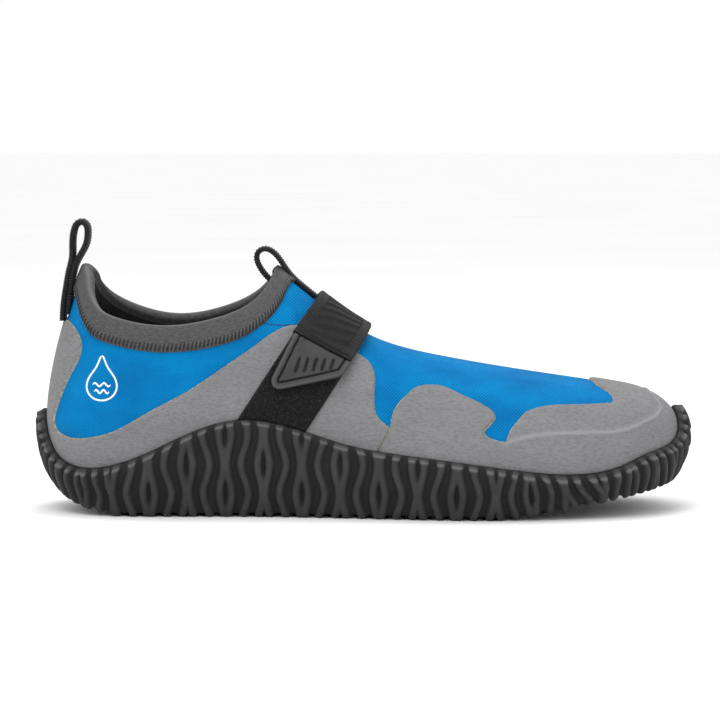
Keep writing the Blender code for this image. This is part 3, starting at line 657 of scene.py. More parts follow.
def make_webbing():
    """Black woven webbing: fine yarns across and along, a little lint."""
    f = Finish("webbing", 0.78, "UV")
    across = f.lines(1.0, (0, 0, math.pi / 2), 0.15)
    along = f.lines(0.5, (0, 0, 0), 0.3)
    base = f.shade(across, f.clouds((3, 1.2, 1), 4, (0.25, 0.014), (0.75, 0.026)), 0.45)
    lint = f.clouds((0.8, 0.25, 1), 1, (0.70, 0.0), (0.78, 1.0))
    f.colour(f.mix(lint, base, 0.045)).rough(across, 0.85, 0.6)
    return f.bump(across, 0.16).bump(along, 0.09).sheen(0.04, 0.4).material


def make_pile():
    """Black hook-and-loop pile: matted loops with pale lint in them."""
    f = Finish("loop_pile", 0.97)
    f.colour(f.clouds(0.7, 4, (0.3, 0.003), (0.56, 0.010), (0.8, 0.05)))
    return f.bump(f.noise(0.32, 4), 0.5).bump(f.cells(0.6), 0.3).sheen(0.05).material


def make_tab_rubber():
    """Smooth matte dark rubber of the pull tab, with painted shade in its groove and grip bars."""
    f = Finish("tab_rubber", 0.45)
    base = f.mix(f.attribute("worn"), f.clouds(7, 3, (0.3, 0.036), (0.7, 0.046)), 0.075)
    # Painted shade: the groove and the grip bars are darkened to near black.
    f.colour(f.mix(f.attribute("groove"), base, 0.009)).rough(f.noise(2, 4), 0.4, 0.62)
    return f.bump(f.noise(0.4, 3), 0.035).bump(f.noise(3.5, 2), 0.08).material


def make_footbed_cloth():
    """Dark brushed cloth of the footbed."""
    f = Finish("footbed_fabric", 0.9)
    ribs = f.lines(1.1)
    f.colour(f.shade(ribs, f.clouds((5, 2, 2), 4, (0.3, 0.022), (0.7, 0.040)), 0.7))
    return f.bump(ribs, 0.15).bump(f.noise(0.5, 3), 0.15).sheen(0.2).material


def new_object(name, data):
    """Add an object to the scene."""
    made = bpy.data.objects.new(name, data)
    bpy.context.scene.collection.objects.link(made)
    return made


def add_piece(
    name, points, faces, finish, slot, body="shoe", stands_for=(), values=None, slots=None, uv=None,
):
    """Add a smooth mesh in the shoe's frame. finish is one material, or several that slots picks from."""
    mesh = bpy.data.meshes.new(name)
    faces = faces.tolist() if isinstance(faces, np.ndarray) else faces
    mesh.from_pydata(np.asarray(points).tolist(), [], faces)
    mesh.shade_smooth()
    for material in finish if isinstance(finish, list) else [finish]:
        mesh.materials.append(material)
    if slots is not None:
        mesh.polygons.foreach_set("material_index", np.asarray(slots, dtype=np.int32))
    for key, data in (values or {}).items():
        attribute = mesh.attributes.new(key, "FLOAT", "POINT")
        attribute.data.foreach_set("value", np.asarray(data, dtype=np.float32).ravel())
    if uv is not None:
        corners = np.zeros(len(mesh.loops), dtype=np.int32)
        mesh.loops.foreach_get("vertex_index", corners)
        uv_layer = mesh.uv_layers.new(name="UVMap")
        uv_layer.data.foreach_set("uv", (np.asarray(uv)[corners] * MM).astype(np.float32).ravel())
    made = new_object(name, mesh)
    if stands_for:
        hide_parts(*stands_for)
    if body:
        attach(made, body)
    return made


def rework(made, step):
    """Run one bmesh step over a piece's mesh."""
    work = bmesh.new()
    work.from_mesh(made.data)
    step(work)
    work.to_mesh(made.data)
    work.free()


def join_close_points(work):
    """Join points that lie in the same place."""
    bmesh.ops.remove_doubles(work, verts=work.verts, dist=0.00003)


def face_outward(work):
    """Turn all faces outward."""
    bmesh.ops.recalc_face_normals(work, faces=work.faces)


def grid(rows, columns, closed=False):
    """Return the quads of a grid of points stored row by row."""
    i = np.arange(rows - 1)[:, None] * columns
    j = np.arange(columns if closed else columns - 1)[None, :]
    k = (j + 1) % columns
    return np.stack([i + j, i + k, i + columns + k, i + columns + j], axis=-1).reshape(-1, 4)


def grid_normals(points):
    """Return the directions square to a grid of points, rows by columns, closed along its rows."""
    along = np.roll(points, -1, axis=1) - np.roll(points, 1, axis=1)
    return unit(np.cross(along, np.gradient(points, axis=0)))


def ruled(ring, across):
    """Return rows of points ruled straight across a ring, from its first half to its second."""
    half = len(ring) // 2
    left, right = ring[1:half], ring[:half:-1]
    return left + (right - left) * (np.arange(1, across) / across)[:, None, None]


def rim_edges(triangles):
    """Return the edges that only one triangle uses."""
    edges = np.concatenate([triangles[:, [0, 1]], triangles[:, [1, 2]], triangles[:, [2, 0]]])
    _, index, uses = np.unique(np.sort(edges, axis=1), axis=0, return_index=True, return_counts=True)
    return edges[index[uses == 1]]


def step_up(value, low, high):
    """Return a smooth step from 0 at low to 1 at high."""
    share = np.clip((np.asarray(value, dtype=float) - low) / (high - low), 0, 1)
    return share * share * (3 - 2 * share)


def even_turns(first, last, spacing, rise=0.4):
    """Return places round the shoe, evenly spaced in millimetres along a line at a rise."""
    fine = np.linspace(first, last, 1500)
    along = run_length(form(fine, np.full(1500, rise)))
    return np.interp(np.linspace(0, along[-1], int(along[-1] / spacing) + 2), along, fine)


def both_sides(places, first, last):
    """Return the outer side's places, then the inner side's, which repeats the places first to last."""
    return np.concatenate([places, (2 - places[first:last])[::-1]])


def feather_outline(turns, inset, lift):
    """Return the outline of the foot's base, drawn in by a length and lifted."""
    line = feather(turns)
    step = feather((turns + 0.001) % 2) - feather((turns - 0.001) % 2)
    outward = unit(np.stack([step[:, 1], -step[:, 0], np.zeros(len(turns))], axis=1))
    line = line - outward * inset
    line[:, 2] += lift
    return line


def seen(x, z):
    """Return turn and rise of points read from the side, 45 mm out and a little from above."""
    x = np.asarray(x, dtype=float)
    z = np.asarray(z, dtype=float)
    turn, rise = on_side(x, z)
    for _ in range(3):
        turn, rise = on_side(x, z - VIEW_SLOPE * (form(turn, rise)[..., 1] + 45))
    return turn, rise


def densify(line, step, closed=False):
    """Return a line through the same corners with points no further apart than a step."""
    line = np.asarray(line, dtype=float)
    if closed:
        line = np.concatenate([line, line[:1]])
    parts = []
    for a, b in zip(line[:-1], line[1:]):
        count = max(1, int(np.ceil(np.linalg.norm(b - a) / step)))
        parts.append(a + (b - a) * (np.arange(count) / count)[:, None])
    if not closed:
        parts.append(line[-1:])
    return np.concatenate(parts)


def curve_through(points, spacing, closed=False):
    """Return a smooth line through a few points, evenly spaced by a length."""
    points = np.asarray(points, dtype=float)
    if closed:
        points = np.concatenate([points, points[:1]])
    knots = run_length(points)
    curve = spline(knots, points, closed)
    fine = curve(np.linspace(0, knots[-1], 60 * len(points)))
    along = run_length(fine)
    count = max(3, int(along[-1] / spacing) + 1)
    at = np.linspace(0, along[-1], count + (1 if closed else 0))
    line = np.stack([np.interp(at, along, fine[:, k]) for k in range(fine.shape[1])], axis=1)
    return line[:-1] if closed else line


def inside(points, polygon):
    """Say which points lie inside a closed polygon."""
    x, y = points[:, 0], points[:, 1]
    found = np.zeros(len(points), dtype=bool)
    ahead = np.roll(polygon, -1, axis=0)
    for (ax, ay), (bx, by) in zip(polygon, ahead):
        if ay == by:
            continue
        crosses = (ay > y) != (by > y)
        found ^= crosses & (x < (bx - ax) * (y - ay) / (by - ay) + ax)
    return found


def nearest(points, line):
    """Return each point's distance to the nearest point of a dense line."""
    tree = kdtree.KDTree(len(line))
    for i, point in enumerate(line):
        tree.insert((*point, 0.0) if len(point) == 2 else point, i)
    tree.balance()
    return np.array([tree.find((*p, 0.0) if len(p) == 2 else p)[2] for p in points])


def fill_outline(outline, spacing, rings):
    """Return points and triangles that fill a closed outline: an even field inside, rings at its edge."""
    outline = np.asarray(outline, dtype=float)
    area = np.sum(outline[:, 0] * np.roll(outline[:, 1], -1) - np.roll(outline[:, 0], -1) * outline[:, 1])
    if area < 0:
        outline = outline[::-1]
    low, high = outline.min(axis=0), outline.max(axis=0)
    us = np.arange(low[0] + spacing / 2, high[0], spacing)
    vs = np.arange(low[1] + spacing / 2, high[1], spacing * 0.866)
    field = np.stack(np.meshgrid(us, vs), axis=-1)
    field[1::2, :, 0] += spacing / 2
    field = field.reshape(-1, 2)
    field = field[inside(field, outline)]
    dense = densify(outline, 0.2, closed=True)
    field = field[nearest(field, dense) > max(rings) + 0.45 * spacing]
    step = np.roll(outline, -1, axis=0) - np.roll(outline, 1, axis=0)
    inward = unit(np.stack([-step[:, 1], step[:, 0]], axis=1))
    extra = []
    for ring in rings:
        line = outline + inward * ring
        line = line[inside(line, outline)]
        extra.append(line[nearest(line, dense) > ring * 0.93])
    points = np.concatenate([outline] + extra + [field])
    count = len(outline)
    edges = [(i, (i + 1) % count) for i in range(count)]
    made = geometry.delaunay_2d_cdt([Vector(p) for p in points], edges, [], 0, 1e-6)
    flat = np.array([tuple(p) for p in made[0]])
    triangles = np.array(made[2])
    middle = flat[triangles].mean(axis=1)
    triangles = triangles[inside(middle, outline)]
    return flat, triangles


def rope_pattern(x, side, z, inward):
    """Return 0 to 1, groove to strand, of the sole's crossing ropes.

    The strands run down the sides, fan out round heel and toe, and go on inward under the foot.
    """
    heel_turn = np.arctan2(HEEL_FAN[0] - x, HEEL_FAN[1] - z)
    toe_turn = np.arctan2(x - TOE_FAN[0], TOE_FAN[1] - z)
    heel_reach = HEEL_FAN[1] - np.hypot(HEEL_FAN[0] - x, HEEL_FAN[1] - z)
    toe_reach = TOE_FAN[1] - np.hypot(x - TOE_FAN[0], TOE_FAN[1] - z)
    at_heel, at_toe = x < HEEL_FAN[0], x > TOE_FAN[0]
    run = np.where(at_heel, HEEL_FAN[0] - HEEL_FAN[2] * heel_turn - ROUND_END * np.maximum(0, 33 - side), x)
    run = np.where(at_toe, TOE_FAN[0] + TOE_FAN[2] * toe_turn + ROUND_END * np.maximum(0, 40 - side), run)
    drop = np.where(at_heel, heel_reach, np.where(at_toe, toe_reach, z)) - inward
    wave = np.cos(2 * np.pi * (drop - RING_HEIGHT) / ROPE_PERIOD)
    from_ring = np.abs((run - FIRST_RING + ROPE_SPACING / 2) % ROPE_SPACING - ROPE_SPACING / 2)
    from_other = ROPE_SPACING / 2 - from_ring
    ring = np.abs(from_ring - (ROPE_PAIR + wave))
    other = np.abs(from_other - (ROPE_PAIR - wave))
    single = np.abs(from_ring - (ROPE_SPACING / 4 + 1.5 * wave))
    distance = np.minimum(np.minimum(ring, other), single)
    crown = 0.2 * (np.minimum(distance, STRAND_TOP) / STRAND_TOP)**2
    return (1 - crown) * (1 - step_up(distance, STRAND_TOP, STRAND_FOOT))


def make_outsole(rubber):
    """Model the rubber bowl with its rope strands, rim lip and tread."""
    turns = both_sides(even_turns(0, 1, 0.62), 1, -1)
    count = len(turns)
    rim = sole_edge_rise(turns)

    share = np.linspace(0, 1, 41)[:, None]
    line = form(np.broadcast_to(turns, (41, count)), rim * (1 - share))
    along = run_length(line)
    lip = np.repeat(np.array(LIP_DEPTHS)[:, None], count, axis=1)
    steps = (np.arange(1, SIDE_ROWS + 1) / SIDE_ROWS)[:, None]
    depth = np.concatenate([lip, lip[-1] + (FORM_SHARE * along[-1] - lip[-1]) * steps])
    columns = [np.interp(depth[:, i], along[:, i], rim[i] * (1 - share[:, 0])) for i in range(count)]
    rise = np.stack(columns, axis=1)
    swell = np.interp(LIP_DEPTHS, [0, 0.12, 0.4, 3.7], [3.0, 3.4, 3.6, WALL_OUT])
    offset = np.concatenate([swell, np.full(SIDE_ROWS, WALL_OUT)])[:, None, None]
    where = np.broadcast_to(turns, rise.shape)
    side = form(where, rise) + offset * normal(where, rise)

    base = feather_outline(turns, -1.2, 0)
    base[:, 2] = bottom_height(base[:, 0]) + TREAD_RELIEF
    knee = feather_outline(turns, -3.2, 0)
    knee[:, 2] = bottom_height(knee[:, 0]) + TREAD_RELIEF + 0.4
    bend = np.linspace(0, 1, UNDER_ROWS + 1)[1:, None, None]
    fall = unit(side[-1] - side[-2])
    hip = side[-1] + fall * (0.5 * np.linalg.norm(knee - side[-1], axis=-1))[:, None]
    under = (1 - bend)**3 * side[-1] + 3 * (1 - bend)**2 * bend * hip
    under = under + 3 * (1 - bend) * bend**2 * knee + bend**3 * base
    wall = np.concatenate([side, under])

    half = count // 2
    left, right = base[1:half], base[:half:-1]
    tread = ruled(base, TREAD_ACROSS)
    tread[..., 2] = bottom_height(tread[..., 0]) + TREAD_RELIEF
    steps = (np.arange(1, TREAD_ACROSS) / TREAD_ACROSS)[:, None]
    inward = np.linalg.norm(right - left, axis=-1) * np.minimum(steps, 1 - steps)

    ropes = rope_pattern(wall[..., 0], np.abs(wall[..., 1]), wall[..., 2], 0.0)
    deep = np.concatenate([depth, np.full((UNDER_ROWS, count), 9.0)])
    tall = ROPE_HEIGHT * np.clip((deep - 0.45) / 1.3, 0, 1)
    tall[-UNDER_ROWS:] = np.linspace(ROPE_HEIGHT, TREAD_RELIEF, UNDER_ROWS)[:, None]
    wall_out = -grid_normals(wall)
    wall = wall + (ropes * tall)[..., None] * wall_out
    under_ropes = rope_pattern(tread[..., 0], np.abs(left[:, 1]), tread[..., 2], inward)
    tread[..., 2] -= TREAD_RELIEF * under_ropes

    floor = feather_outline(turns, 2.5, 0)
    floor[:, 2] = bottom_height(floor[:, 0]) + TREAD_THICK
    inner = [floor]
    for level in (0.0, 0.3, 0.6, 0.8, 0.93, 1.0):
        inner.append(form(turns, rim * level) + WALL_IN * normal(turns, rim * level))
    inner.append(form(turns, rim) + (WALL_IN + 0.5) * normal(turns, rim) + (0, 0, 0.25))
    chain = np.concatenate([np.stack(inner), wall])
    rows = len(chain)
    ceiling = ruled(floor, HIDDEN_ACROSS)
    ceiling[..., 2] = bottom_height(ceiling[..., 0]) + TREAD_THICK

    points = np.concatenate([chain.reshape(-1, 3), tread.reshape(-1, 3), ceiling.reshape(-1, 3)])
    faces = [tuple(face[::-1]) for face in grid(rows, count, closed=True).tolist()]
    faces += cap(count, (rows - 1) * count, rows * count, TREAD_ACROSS, flip=True)
    faces += cap(count, 0, rows * count + tread.size // 3, HIDDEN_ACROSS, flip=False)

    # crest marks the strands; the rubber finish darkens the rest as painted shade in the grooves.
    shown = np.concatenate([np.zeros((len(inner), count)), ropes]).ravel()
    crest = np.concatenate([shown, under_ropes.ravel(), np.zeros(ceiling.size // 3)])
    deep = np.concatenate([np.zeros((len(inner), count)), deep])
    worn = (shown > 0.5) * np.exp(-((deep.ravel() - 1.5) / 0.6)**2)
    worn = np.concatenate([worn, np.zeros(len(crest) - len(worn))])
    return add_piece(
        "moulded_outsole", to_frame(points), faces, rubber, slot="sole_rubber", stands_for=["outsole"],
        values={"crest": crest, "worn": worn},
    )


def cap(count, first, inner, across, flip):
    """Return the faces ruled across a ring of points that starts at first; inner points start at inner."""
    half = count // 2

    def vertex(i, k):
        if k == 0:
            return first + i
        if k == across:
            return first + (count - i) % count
        return inner + (k - 1) * (half - 1) + i - 1

    faces = []
    for k in range(across):
        for i in range(1, half - 1):
            faces.append((vertex(i, k), vertex(i + 1, k), vertex(i + 1, k + 1), vertex(i, k + 1)))
        faces.append((first, vertex(1, k), vertex(1, k + 1)))
        faces.append((first + half, vertex(half - 1, k + 1), vertex(half - 1, k)))
    return [face[::-1] for face in faces] if flip else faces


def closed_strip(name, front, back, uv, finish, **facts):
    """Model a closed sheet between two grids of points. With two finishes, the second is on its back."""
    rows, columns = front.shape[:2]
    total = rows * columns
    skin = grid(rows, columns)
    ring = np.concatenate([
        np.arange(columns), np.arange(1, rows) * columns + columns - 1,
        (rows - 1) * columns + np.arange(columns - 1)[::-1], np.arange(1, rows - 1)[::-1] * columns,
    ])
    ahead = np.roll(ring, -1)
    edge = np.stack([ahead, ring, ring + total, ahead + total], axis=1)
    faces = np.concatenate([skin, skin[:, ::-1] + total, edge])
    points = np.concatenate([front.reshape(-1, 3), back.reshape(-1, 3)])
    uv = np.stack(uv, axis=-1).reshape(-1, 2)
    slots = np.repeat((0, 1, 0), (len(skin), len(skin), len(edge))) if isinstance(finish, list) else None
    return add_piece(name, points, faces, finish, uv=np.concatenate([uv, uv]), slots=slots, **facts)


def panel_sheet(name, turns, high, finishes, node):
    """Model a neoprene panel over the form, from the feather line up to a rise at each place."""
    rise = np.linspace(0, 1, PANEL_ROWS)[:, None] * high
    turn = np.broadcast_to(turns, rise.shape)
    front = layer(turn, rise, 0)
    uv = turn * ROUND_LENGTH, run_length(front) / MM
    made = closed_strip(name, front, layer(turn, rise, -NEOPRENE), uv, finishes, slot="blue_neoprene",
                        stands_for=[node])
    made.data.set_sharp_from_angle(angle=SHARP_ANGLE)
    return made


def band_rise(turn):
    """Return the rise of the collar band's lower edge, a fixed length below the collar edge."""
    span = np.linalg.norm(top(turn) - shoulder(turn), axis=-1)
    deeper = np.interp(station(turn), [COLLAR_FRONT - 0.06, COLLAR_FRONT], [0, BAND_EXTRA_IN_FRONT])
    level = 1 - (BAND_HEIGHT + deeper) / (3 * span)
    front_span = np.linalg.norm(top(COLLAR_FRONT) - shoulder(COLLAR_FRONT))
    front = 1 - (BAND_HEIGHT + BAND_EXTRA_IN_FRONT) / (3 * front_span)
    wedge = np.interp(station(turn), [COLLAR_FRONT, BAND_TIP], [front, 1])
    return np.where(station(turn) <= COLLAR_FRONT, level, wedge)


def make_neoprene_upper(blue, lining):
    """Model the blue quarters and vamp, each with its dark lining inside."""
    finishes = [blue, lining]
    places = even_turns(0.0015, COLLAR_FRONT, 1.6, 0.7)
    high = band_rise(places) + BAND_OVERLAP
    panel_sheet("lateral_neoprene", places, high, finishes, "lateral_quarter")
    panel_sheet("medial_neoprene", (2 - places)[::-1], high[::-1], finishes, "medial_quarter")
    turns = both_sides(even_turns(COLLAR_FRONT, 1, 1.6, 0.7), 0, -1)
    high = np.minimum(band_rise(turns) + BAND_OVERLAP, 1)
    high[station(turns) > BAND_TIP] = 1
    rework(panel_sheet("vamp_neoprene", turns, high, finishes, "vamp"), join_close_points)


def make_collar_band(knit, lining, dark_thread, pale_thread):
    """Model the knit band folded over the collar edge, with its row of cover stitching."""
    places = even_turns(0, BAND_TIP, 0.8, 0.97)
    turns = both_sides(places, 1, None)
    count = len(turns)
    low = band_rise(turns)
    tip = COLLAR_FRONT - 0.06
    reach = np.interp(station(turns), [0, tip, BAND_TIP], [0, tip, COLLAR_FRONT])
    crown = np.where(turns <= 1, reach, 2 - reach)
    edge = np.ones(count)
    crest = form(crown, edge)
    outward = normal(crown, edge)
    upward = unit(form(crown, edge) - form(crown, edge - 0.02))
    lean = step_up(reach, 0.37, 0.41)[:, None]
    upward = unit(upward * (1 - lean) + lean * np.array(FRONT_LIP))
    rows, round_rows, inner_rows = BAND_ROWS
    chain, up = [], []
    for share in np.linspace(0, 1, rows):
        rise = low + (0.985 - low) * share
        at = turns + (crown - turns) * share**2
        swell = BAND_SWELL * (1 - (1 - min(1, share / 0.12))**2)**0.5 + 0.25 * math.sin(math.pi * share)
        chain.append(form(at, rise) + normal(at, rise) * swell)
        up.append(np.full(count, share * BAND_HEIGHT))
    for angle in np.linspace(0.12, 1, round_rows) * math.pi:
        out = ROLL_MIDDLE + ROLL_RADIUS * math.cos(angle) * 1.15
        chain.append(crest + outward * out + upward * (ROLL_RADIUS * math.sin(angle) * 0.95 - 1.2))
        up.append(np.full(count, BAND_HEIGHT + angle * ROLL_RADIUS))
    for share in np.linspace(1, 0, inner_rows):
        rise = low + (0.96 - low) * share
        at = turns + (crown - turns) * share**2
        chain.append(form(at, rise) + normal(at, rise) * (-3.4 - 0.2 * math.sin(math.pi * share)))
        up.append(np.full(count, 2 * BAND_HEIGHT + 6 - share * BAND_HEIGHT))
    chain.append(form(turns, low) - normal(turns, low) * 2.4)
    up.append(np.full(count, 2 * BAND_HEIGHT + 7))
    chain = np.stack(chain)
    total = len(chain)
    faces = grid(total, count, closed=True)
    seam = np.stack([np.roll(np.arange(count), -1), np.arange(count)], axis=1)
    faces = np.concatenate([faces, np.concatenate([seam, seam[:, ::-1] + (total - 1) * count], axis=1)])
    slots = np.zeros(len(faces))
    slots[(rows + round_rows + 1) * count:] = 1
    uv = np.stack(np.broadcast_arrays(turns * ROUND_LENGTH, np.stack(up)), axis=-1).reshape(-1, 2)
    rim = np.exp(-((np.arange(total) - rows - 3) / 2.2)**2)
    worn = np.repeat(rim[:, None] * 0.55, count, axis=1)
    band = add_piece(
        "collar_knit_band", to_frame(chain.reshape(-1, 3)), faces, [knit, lining], slot="grey_knit",
        stands_for=["collar_band"], uv=uv, slots=slots, values={"worn": worn},
    )

    dark, pale = [], []
    knots = even_turns(0.004, BAND_TIP - 0.012, 1.7, 0.95)
    for side in (1, -1):
        for a, b in zip(knots[:-1], knots[1:]):
            a, b = (a, b) if side > 0 else (2 - a, 2 - b)
            middle = (a + b) / 2
            dark.append(stitch_line([(a, 0.15), (middle, 3.9)]))
            pale.append(stitch_line([(middle, 0.1), (b, 3.7)]))
    tubes("collar_cover_stitch", pale, 0.24, pale_thread)
    tubes("collar_needle_row", dark, 0.26, dark_thread)


def stitch_line(ends):
    """Return a short thread over the band, between two places given by turn and height above its edge."""
    (turn_a, up_a), (turn_b, up_b) = ends
    share = np.linspace(0, 1, 7)
    turn = turn_a + (turn_b - turn_a) * share
    up = up_a + (up_b - up_a) * share
    low = band_rise(turn)
    length = np.linalg.norm(form(turn, low + 0.01) - form(turn, low - 0.01), axis=-1) / 0.02
    rise = low + up / length
    on_band = BAND_SWELL * step_up(up, -0.5, 0.9) + 0.2
    bow = 0.22 * np.sin(np.pi * share) - 0.25 * (np.abs(share - 0.5) > 0.45)
    return layer(turn, rise, on_band + bow)


def tubes(name, lines, radius, finish, slot="grey_knit", body="shoe"):
    """Model many short threads as thin six-sided tubes in one piece."""
    sides = 6
    turn = (np.arange(sides) * 2 * np.pi / sides)[None, :, None]
    points, faces, first = [], [], 0
    for line in lines:
        ahead = unit(np.gradient(line, axis=0))
        side = unit(np.cross(ahead, np.where(np.abs(ahead[:, 2:3]) > 0.9, (1.0, 0, 0), (0, 0, 1.0))))
        up = np.cross(ahead, side)
        size = radius * MM * np.ones(len(line))
        size[[0, -1]] *= 0.45
        ring = side[:, None] * np.cos(turn) + up[:, None] * np.sin(turn)
        points.append((line[:, None] + ring * size[:, None, None]).reshape(-1, 3))
        last = first + (len(line) - 1) * sides
        faces += (grid(len(line), sides, closed=True)[:, ::-1] + first).tolist()
        faces += [list(range(first, first + sides)), list(range(last, last + sides))[::-1]]
        first = last + sides
    return add_piece(name, np.concatenate(points), faces, finish, slot=slot, body=body)


def leather_panel(
    name, outline, scale, spacing, leather, cut_edge, stands_for, ridge_line=None, crest_open=False,
):
    """Model one leather panel: a filled outline in turn and rise, rounded at its cut edge.

    scale is millimetres per turn and per rise; crest_open leaves the edge on the instep ridge unrounded.
    """
    scale = np.asarray(scale, dtype=float)
    flat, triangles = fill_outline(np.asarray(outline) * scale, spacing, (0.3, 0.8))
    turn, rise = (flat / scale).T
    rise = rise.clip(0, 1)
    border = densify(np.asarray(outline) * scale, 0.25, closed=True) / scale
    if crest_open:
        border = border[border[:, 1] < 0.9995]
    skin = form(turn, rise)
    distance = nearest(skin, form(border[:, 0], border[:, 1].clip(0, 1)))
    fall = 1 - np.clip(distance / LEATHER_ROUND, 0, 1)
    height = LEATHER_OUT - LEATHER_DROP * (1 - np.sqrt(1 - fall**2))
    raised = np.zeros(len(flat))
    if ridge_line is not None:
        away = nearest(skin, ridge_line)
        # raised marks the embossed line, which the leather finish lightens as a painted highlight.
        raised = np.exp(-(away / 0.6)**2)
        height = height + RIDGE_RELIEF * np.exp(-(away / 0.85)**2) - 0.12 * np.exp(-((away - 2.0) / 0.6)**2)
    points = layer(turn, rise, height)
    a, b, c = (flat[triangles[:, k]] for k in range(3))
    backward = (b[:, 0] - a[:, 0]) * (c[:, 1] - a[:, 1]) < (b[:, 1] - a[:, 1]) * (c[:, 0] - a[:, 0])
    triangles[backward] = triangles[backward][:, ::-1]
    rim = rim_edges(triangles)
    if crest_open:
        rim = rim[~((rise[rim[:, 0]] > 0.9995) & (rise[rim[:, 1]] > 0.9995))]
    used = np.unique(rim)
    along = flat[rim[:, 1]] - flat[rim[:, 0]]
    away = np.zeros_like(flat)
    np.add.at(away, rim.ravel(), np.repeat(np.stack([along[:, 1], -along[:, 0]], axis=1), 2, axis=0))
    outer = (flat[used] + EDGE_SHOWS * unit(away[used])) / scale
    low = layer(outer[:, 0], outer[:, 1].clip(0, 1), -0.05)
    rank = np.zeros(len(points), dtype=int)
    rank[used] = np.arange(len(used)) + len(points)
    high = rank[rim[:, ::-1]]
    skirt = np.concatenate([high, high[:, ::-1] + len(used)], axis=1)
    faces = triangles.tolist() + skirt.tolist()
    slots = np.repeat((0, 1), (len(triangles), len(skirt)))
    raised = np.concatenate([raised, np.zeros(2 * len(used))])
    made = add_piece(name, np.concatenate([points, points[used], low]), faces, [leather, cut_edge],
                     slot="grey_leather", stands_for=stands_for, values={"ridge": raised}, slots=slots)
    if crest_open:
        rework(made, join_close_points)
    return made


def low_edge(turns):
    """Return turn and rise of the leather's hidden lower edge, under the sole's rim."""
    return np.stack([turns, sole_edge_rise(turns % 2, LEATHER_UNDER_RIM)], axis=1)


def read_edge(points, spacing=0.9):
    """Return turn and rise along a panel edge read from the side."""
    line = curve_through(points, spacing)
    return np.stack(seen(line[:, 0], line[:, 1]), axis=1)


def make_leather(leather, cut_edge):
    """Model the leather overlays: one piece round the heel and both sides, and one round the front."""
    start = np.array([[0.0, float(rise_at_height(0.0, 83.6))]])
    close = read_edge([(156.2, 39.4), (151.5, 30.6)])[1:]
    close = close[close[:, 1] > sole_edge_rise(close[:, 0], LEATHER_UNDER_RIM) + 0.01]
    right = np.concatenate([start, read_edge(REAR_EDGE), close])
    left = np.stack([-right[1:, 0], right[1:, 1]], axis=1)[::-1]
    under = low_edge(np.linspace(right[-1, 0], -right[-1, 0], 300))
    outline = np.concatenate([left, right, under])
    rear = leather_panel("rear_leather", outline, (310, 86), 1.1, leather, cut_edge, ["rear_overlay"])

    joint = read_edge([(152.1, 30.6), (156.9, 39.6)])
    joint = joint[joint[:, 1] > sole_edge_rise(joint[:, 0], LEATHER_UNDER_RIM) + 0.01]
    wave = read_edge(FRONT_EDGE)
    toe = read_edge(TOE_EDGE)
    top_point = np.array([[TOE_CREST, 1.0]])
    side = np.concatenate([joint, wave, toe, top_point])
    crest = np.linspace(TOE_CREST, 2 - TOE_CREST, 61)[1:-1]
    crest = np.stack([crest, np.ones(len(crest))], axis=1)
    other = np.stack([2 - side[:, 0], side[:, 1]], axis=1)[::-1]
    under = low_edge(np.linspace(other[-1, 0], side[0, 0], 280))
    outline = np.concatenate([side, crest, other, under])
    rand = read_edge(RAND_RIDGE, 0.4)
    over = np.linspace(rand[-1], (2 - rand[-1, 0], rand[-1, 1]), 90)[1:-1]
    over[:, 1] += (RIDGE_TOP - rand[-1, 1]) * np.sin(np.linspace(0, np.pi, 90)[1:-1])**0.8
    rand = np.concatenate([rand, over, np.stack([2 - rand[:, 0], rand[:, 1]], axis=1)[::-1]])
    front = leather_panel("front_leather", outline, (320, 72), 1.0, leather, cut_edge, ["front_overlay"],
                          form(rand[:, 0], rand[:, 1]), crest_open=True)


def strap_strip(name, lines, outer, inner, finish, relief, **facts):
    """Model a strip over the form from rows of turn and rise, with relief on its outer face."""
    front = bridging_layer(*lines, outer + relief)
    uv = run_length(np.swapaxes(front, 0, 1)).T / MM, run_length(front) / MM
    return closed_strip(name, front, bridging_layer(*lines, inner), uv, finish, **facts)


def strap_path(spacing):
    """Return rows of turn and rise down the strap, from the tab over the ridge to the sole, and lengths."""
    across = np.linspace(STRAP_REAR, STRAP_FRONT, STRAP_COLUMNS)
    start = strap_points(across, np.linspace(*STRAP_END, STRAP_COLUMNS))[1]
    foot = sole_edge_rise(strap_turn(across, np.full(STRAP_COLUMNS, 0.35), False), -1.6)
    up = start + (1 - start) * np.linspace(0, 1, STRAP_OUTER_ROWS)[:, None]
    down = 1 + (foot - 1) * np.linspace(0, 1, STRAP_INNER_ROWS)[1:, None]
    rise = np.concatenate([up, down])
    turn = np.stack([strap_turn(across, row, i < STRAP_OUTER_ROWS) for i, row in enumerate(rise)])
    middle = STRAP_COLUMNS // 2
    along = run_length(layer(turn[:, middle], rise[:, middle], WEB_OUT) / MM)
    at = np.linspace(0, along[-1], int(along[-1] / spacing))
    pick = np.interp(at, along, np.arange(len(rise)))
    low = pick.astype(int).clip(0, len(rise) - 2)
    part = (pick - low)[:, None]
    same_side = (low + 1 < STRAP_OUTER_ROWS) | (low >= STRAP_OUTER_ROWS)
    next_turn = np.where(same_side[:, None], turn[low + 1], turn[low])
    return turn[low] + (next_turn - turn[low]) * part, rise[low] + (rise[low + 1] - rise[low]) * part, at


def rounding(away, radius, drop):
    """Return the fall of a rounded edge, from none at a radius inside the edge to a drop at the edge."""
    return -drop * (1 - np.sqrt(1 - (1 - np.clip(away / radius, 0, 1))**2))


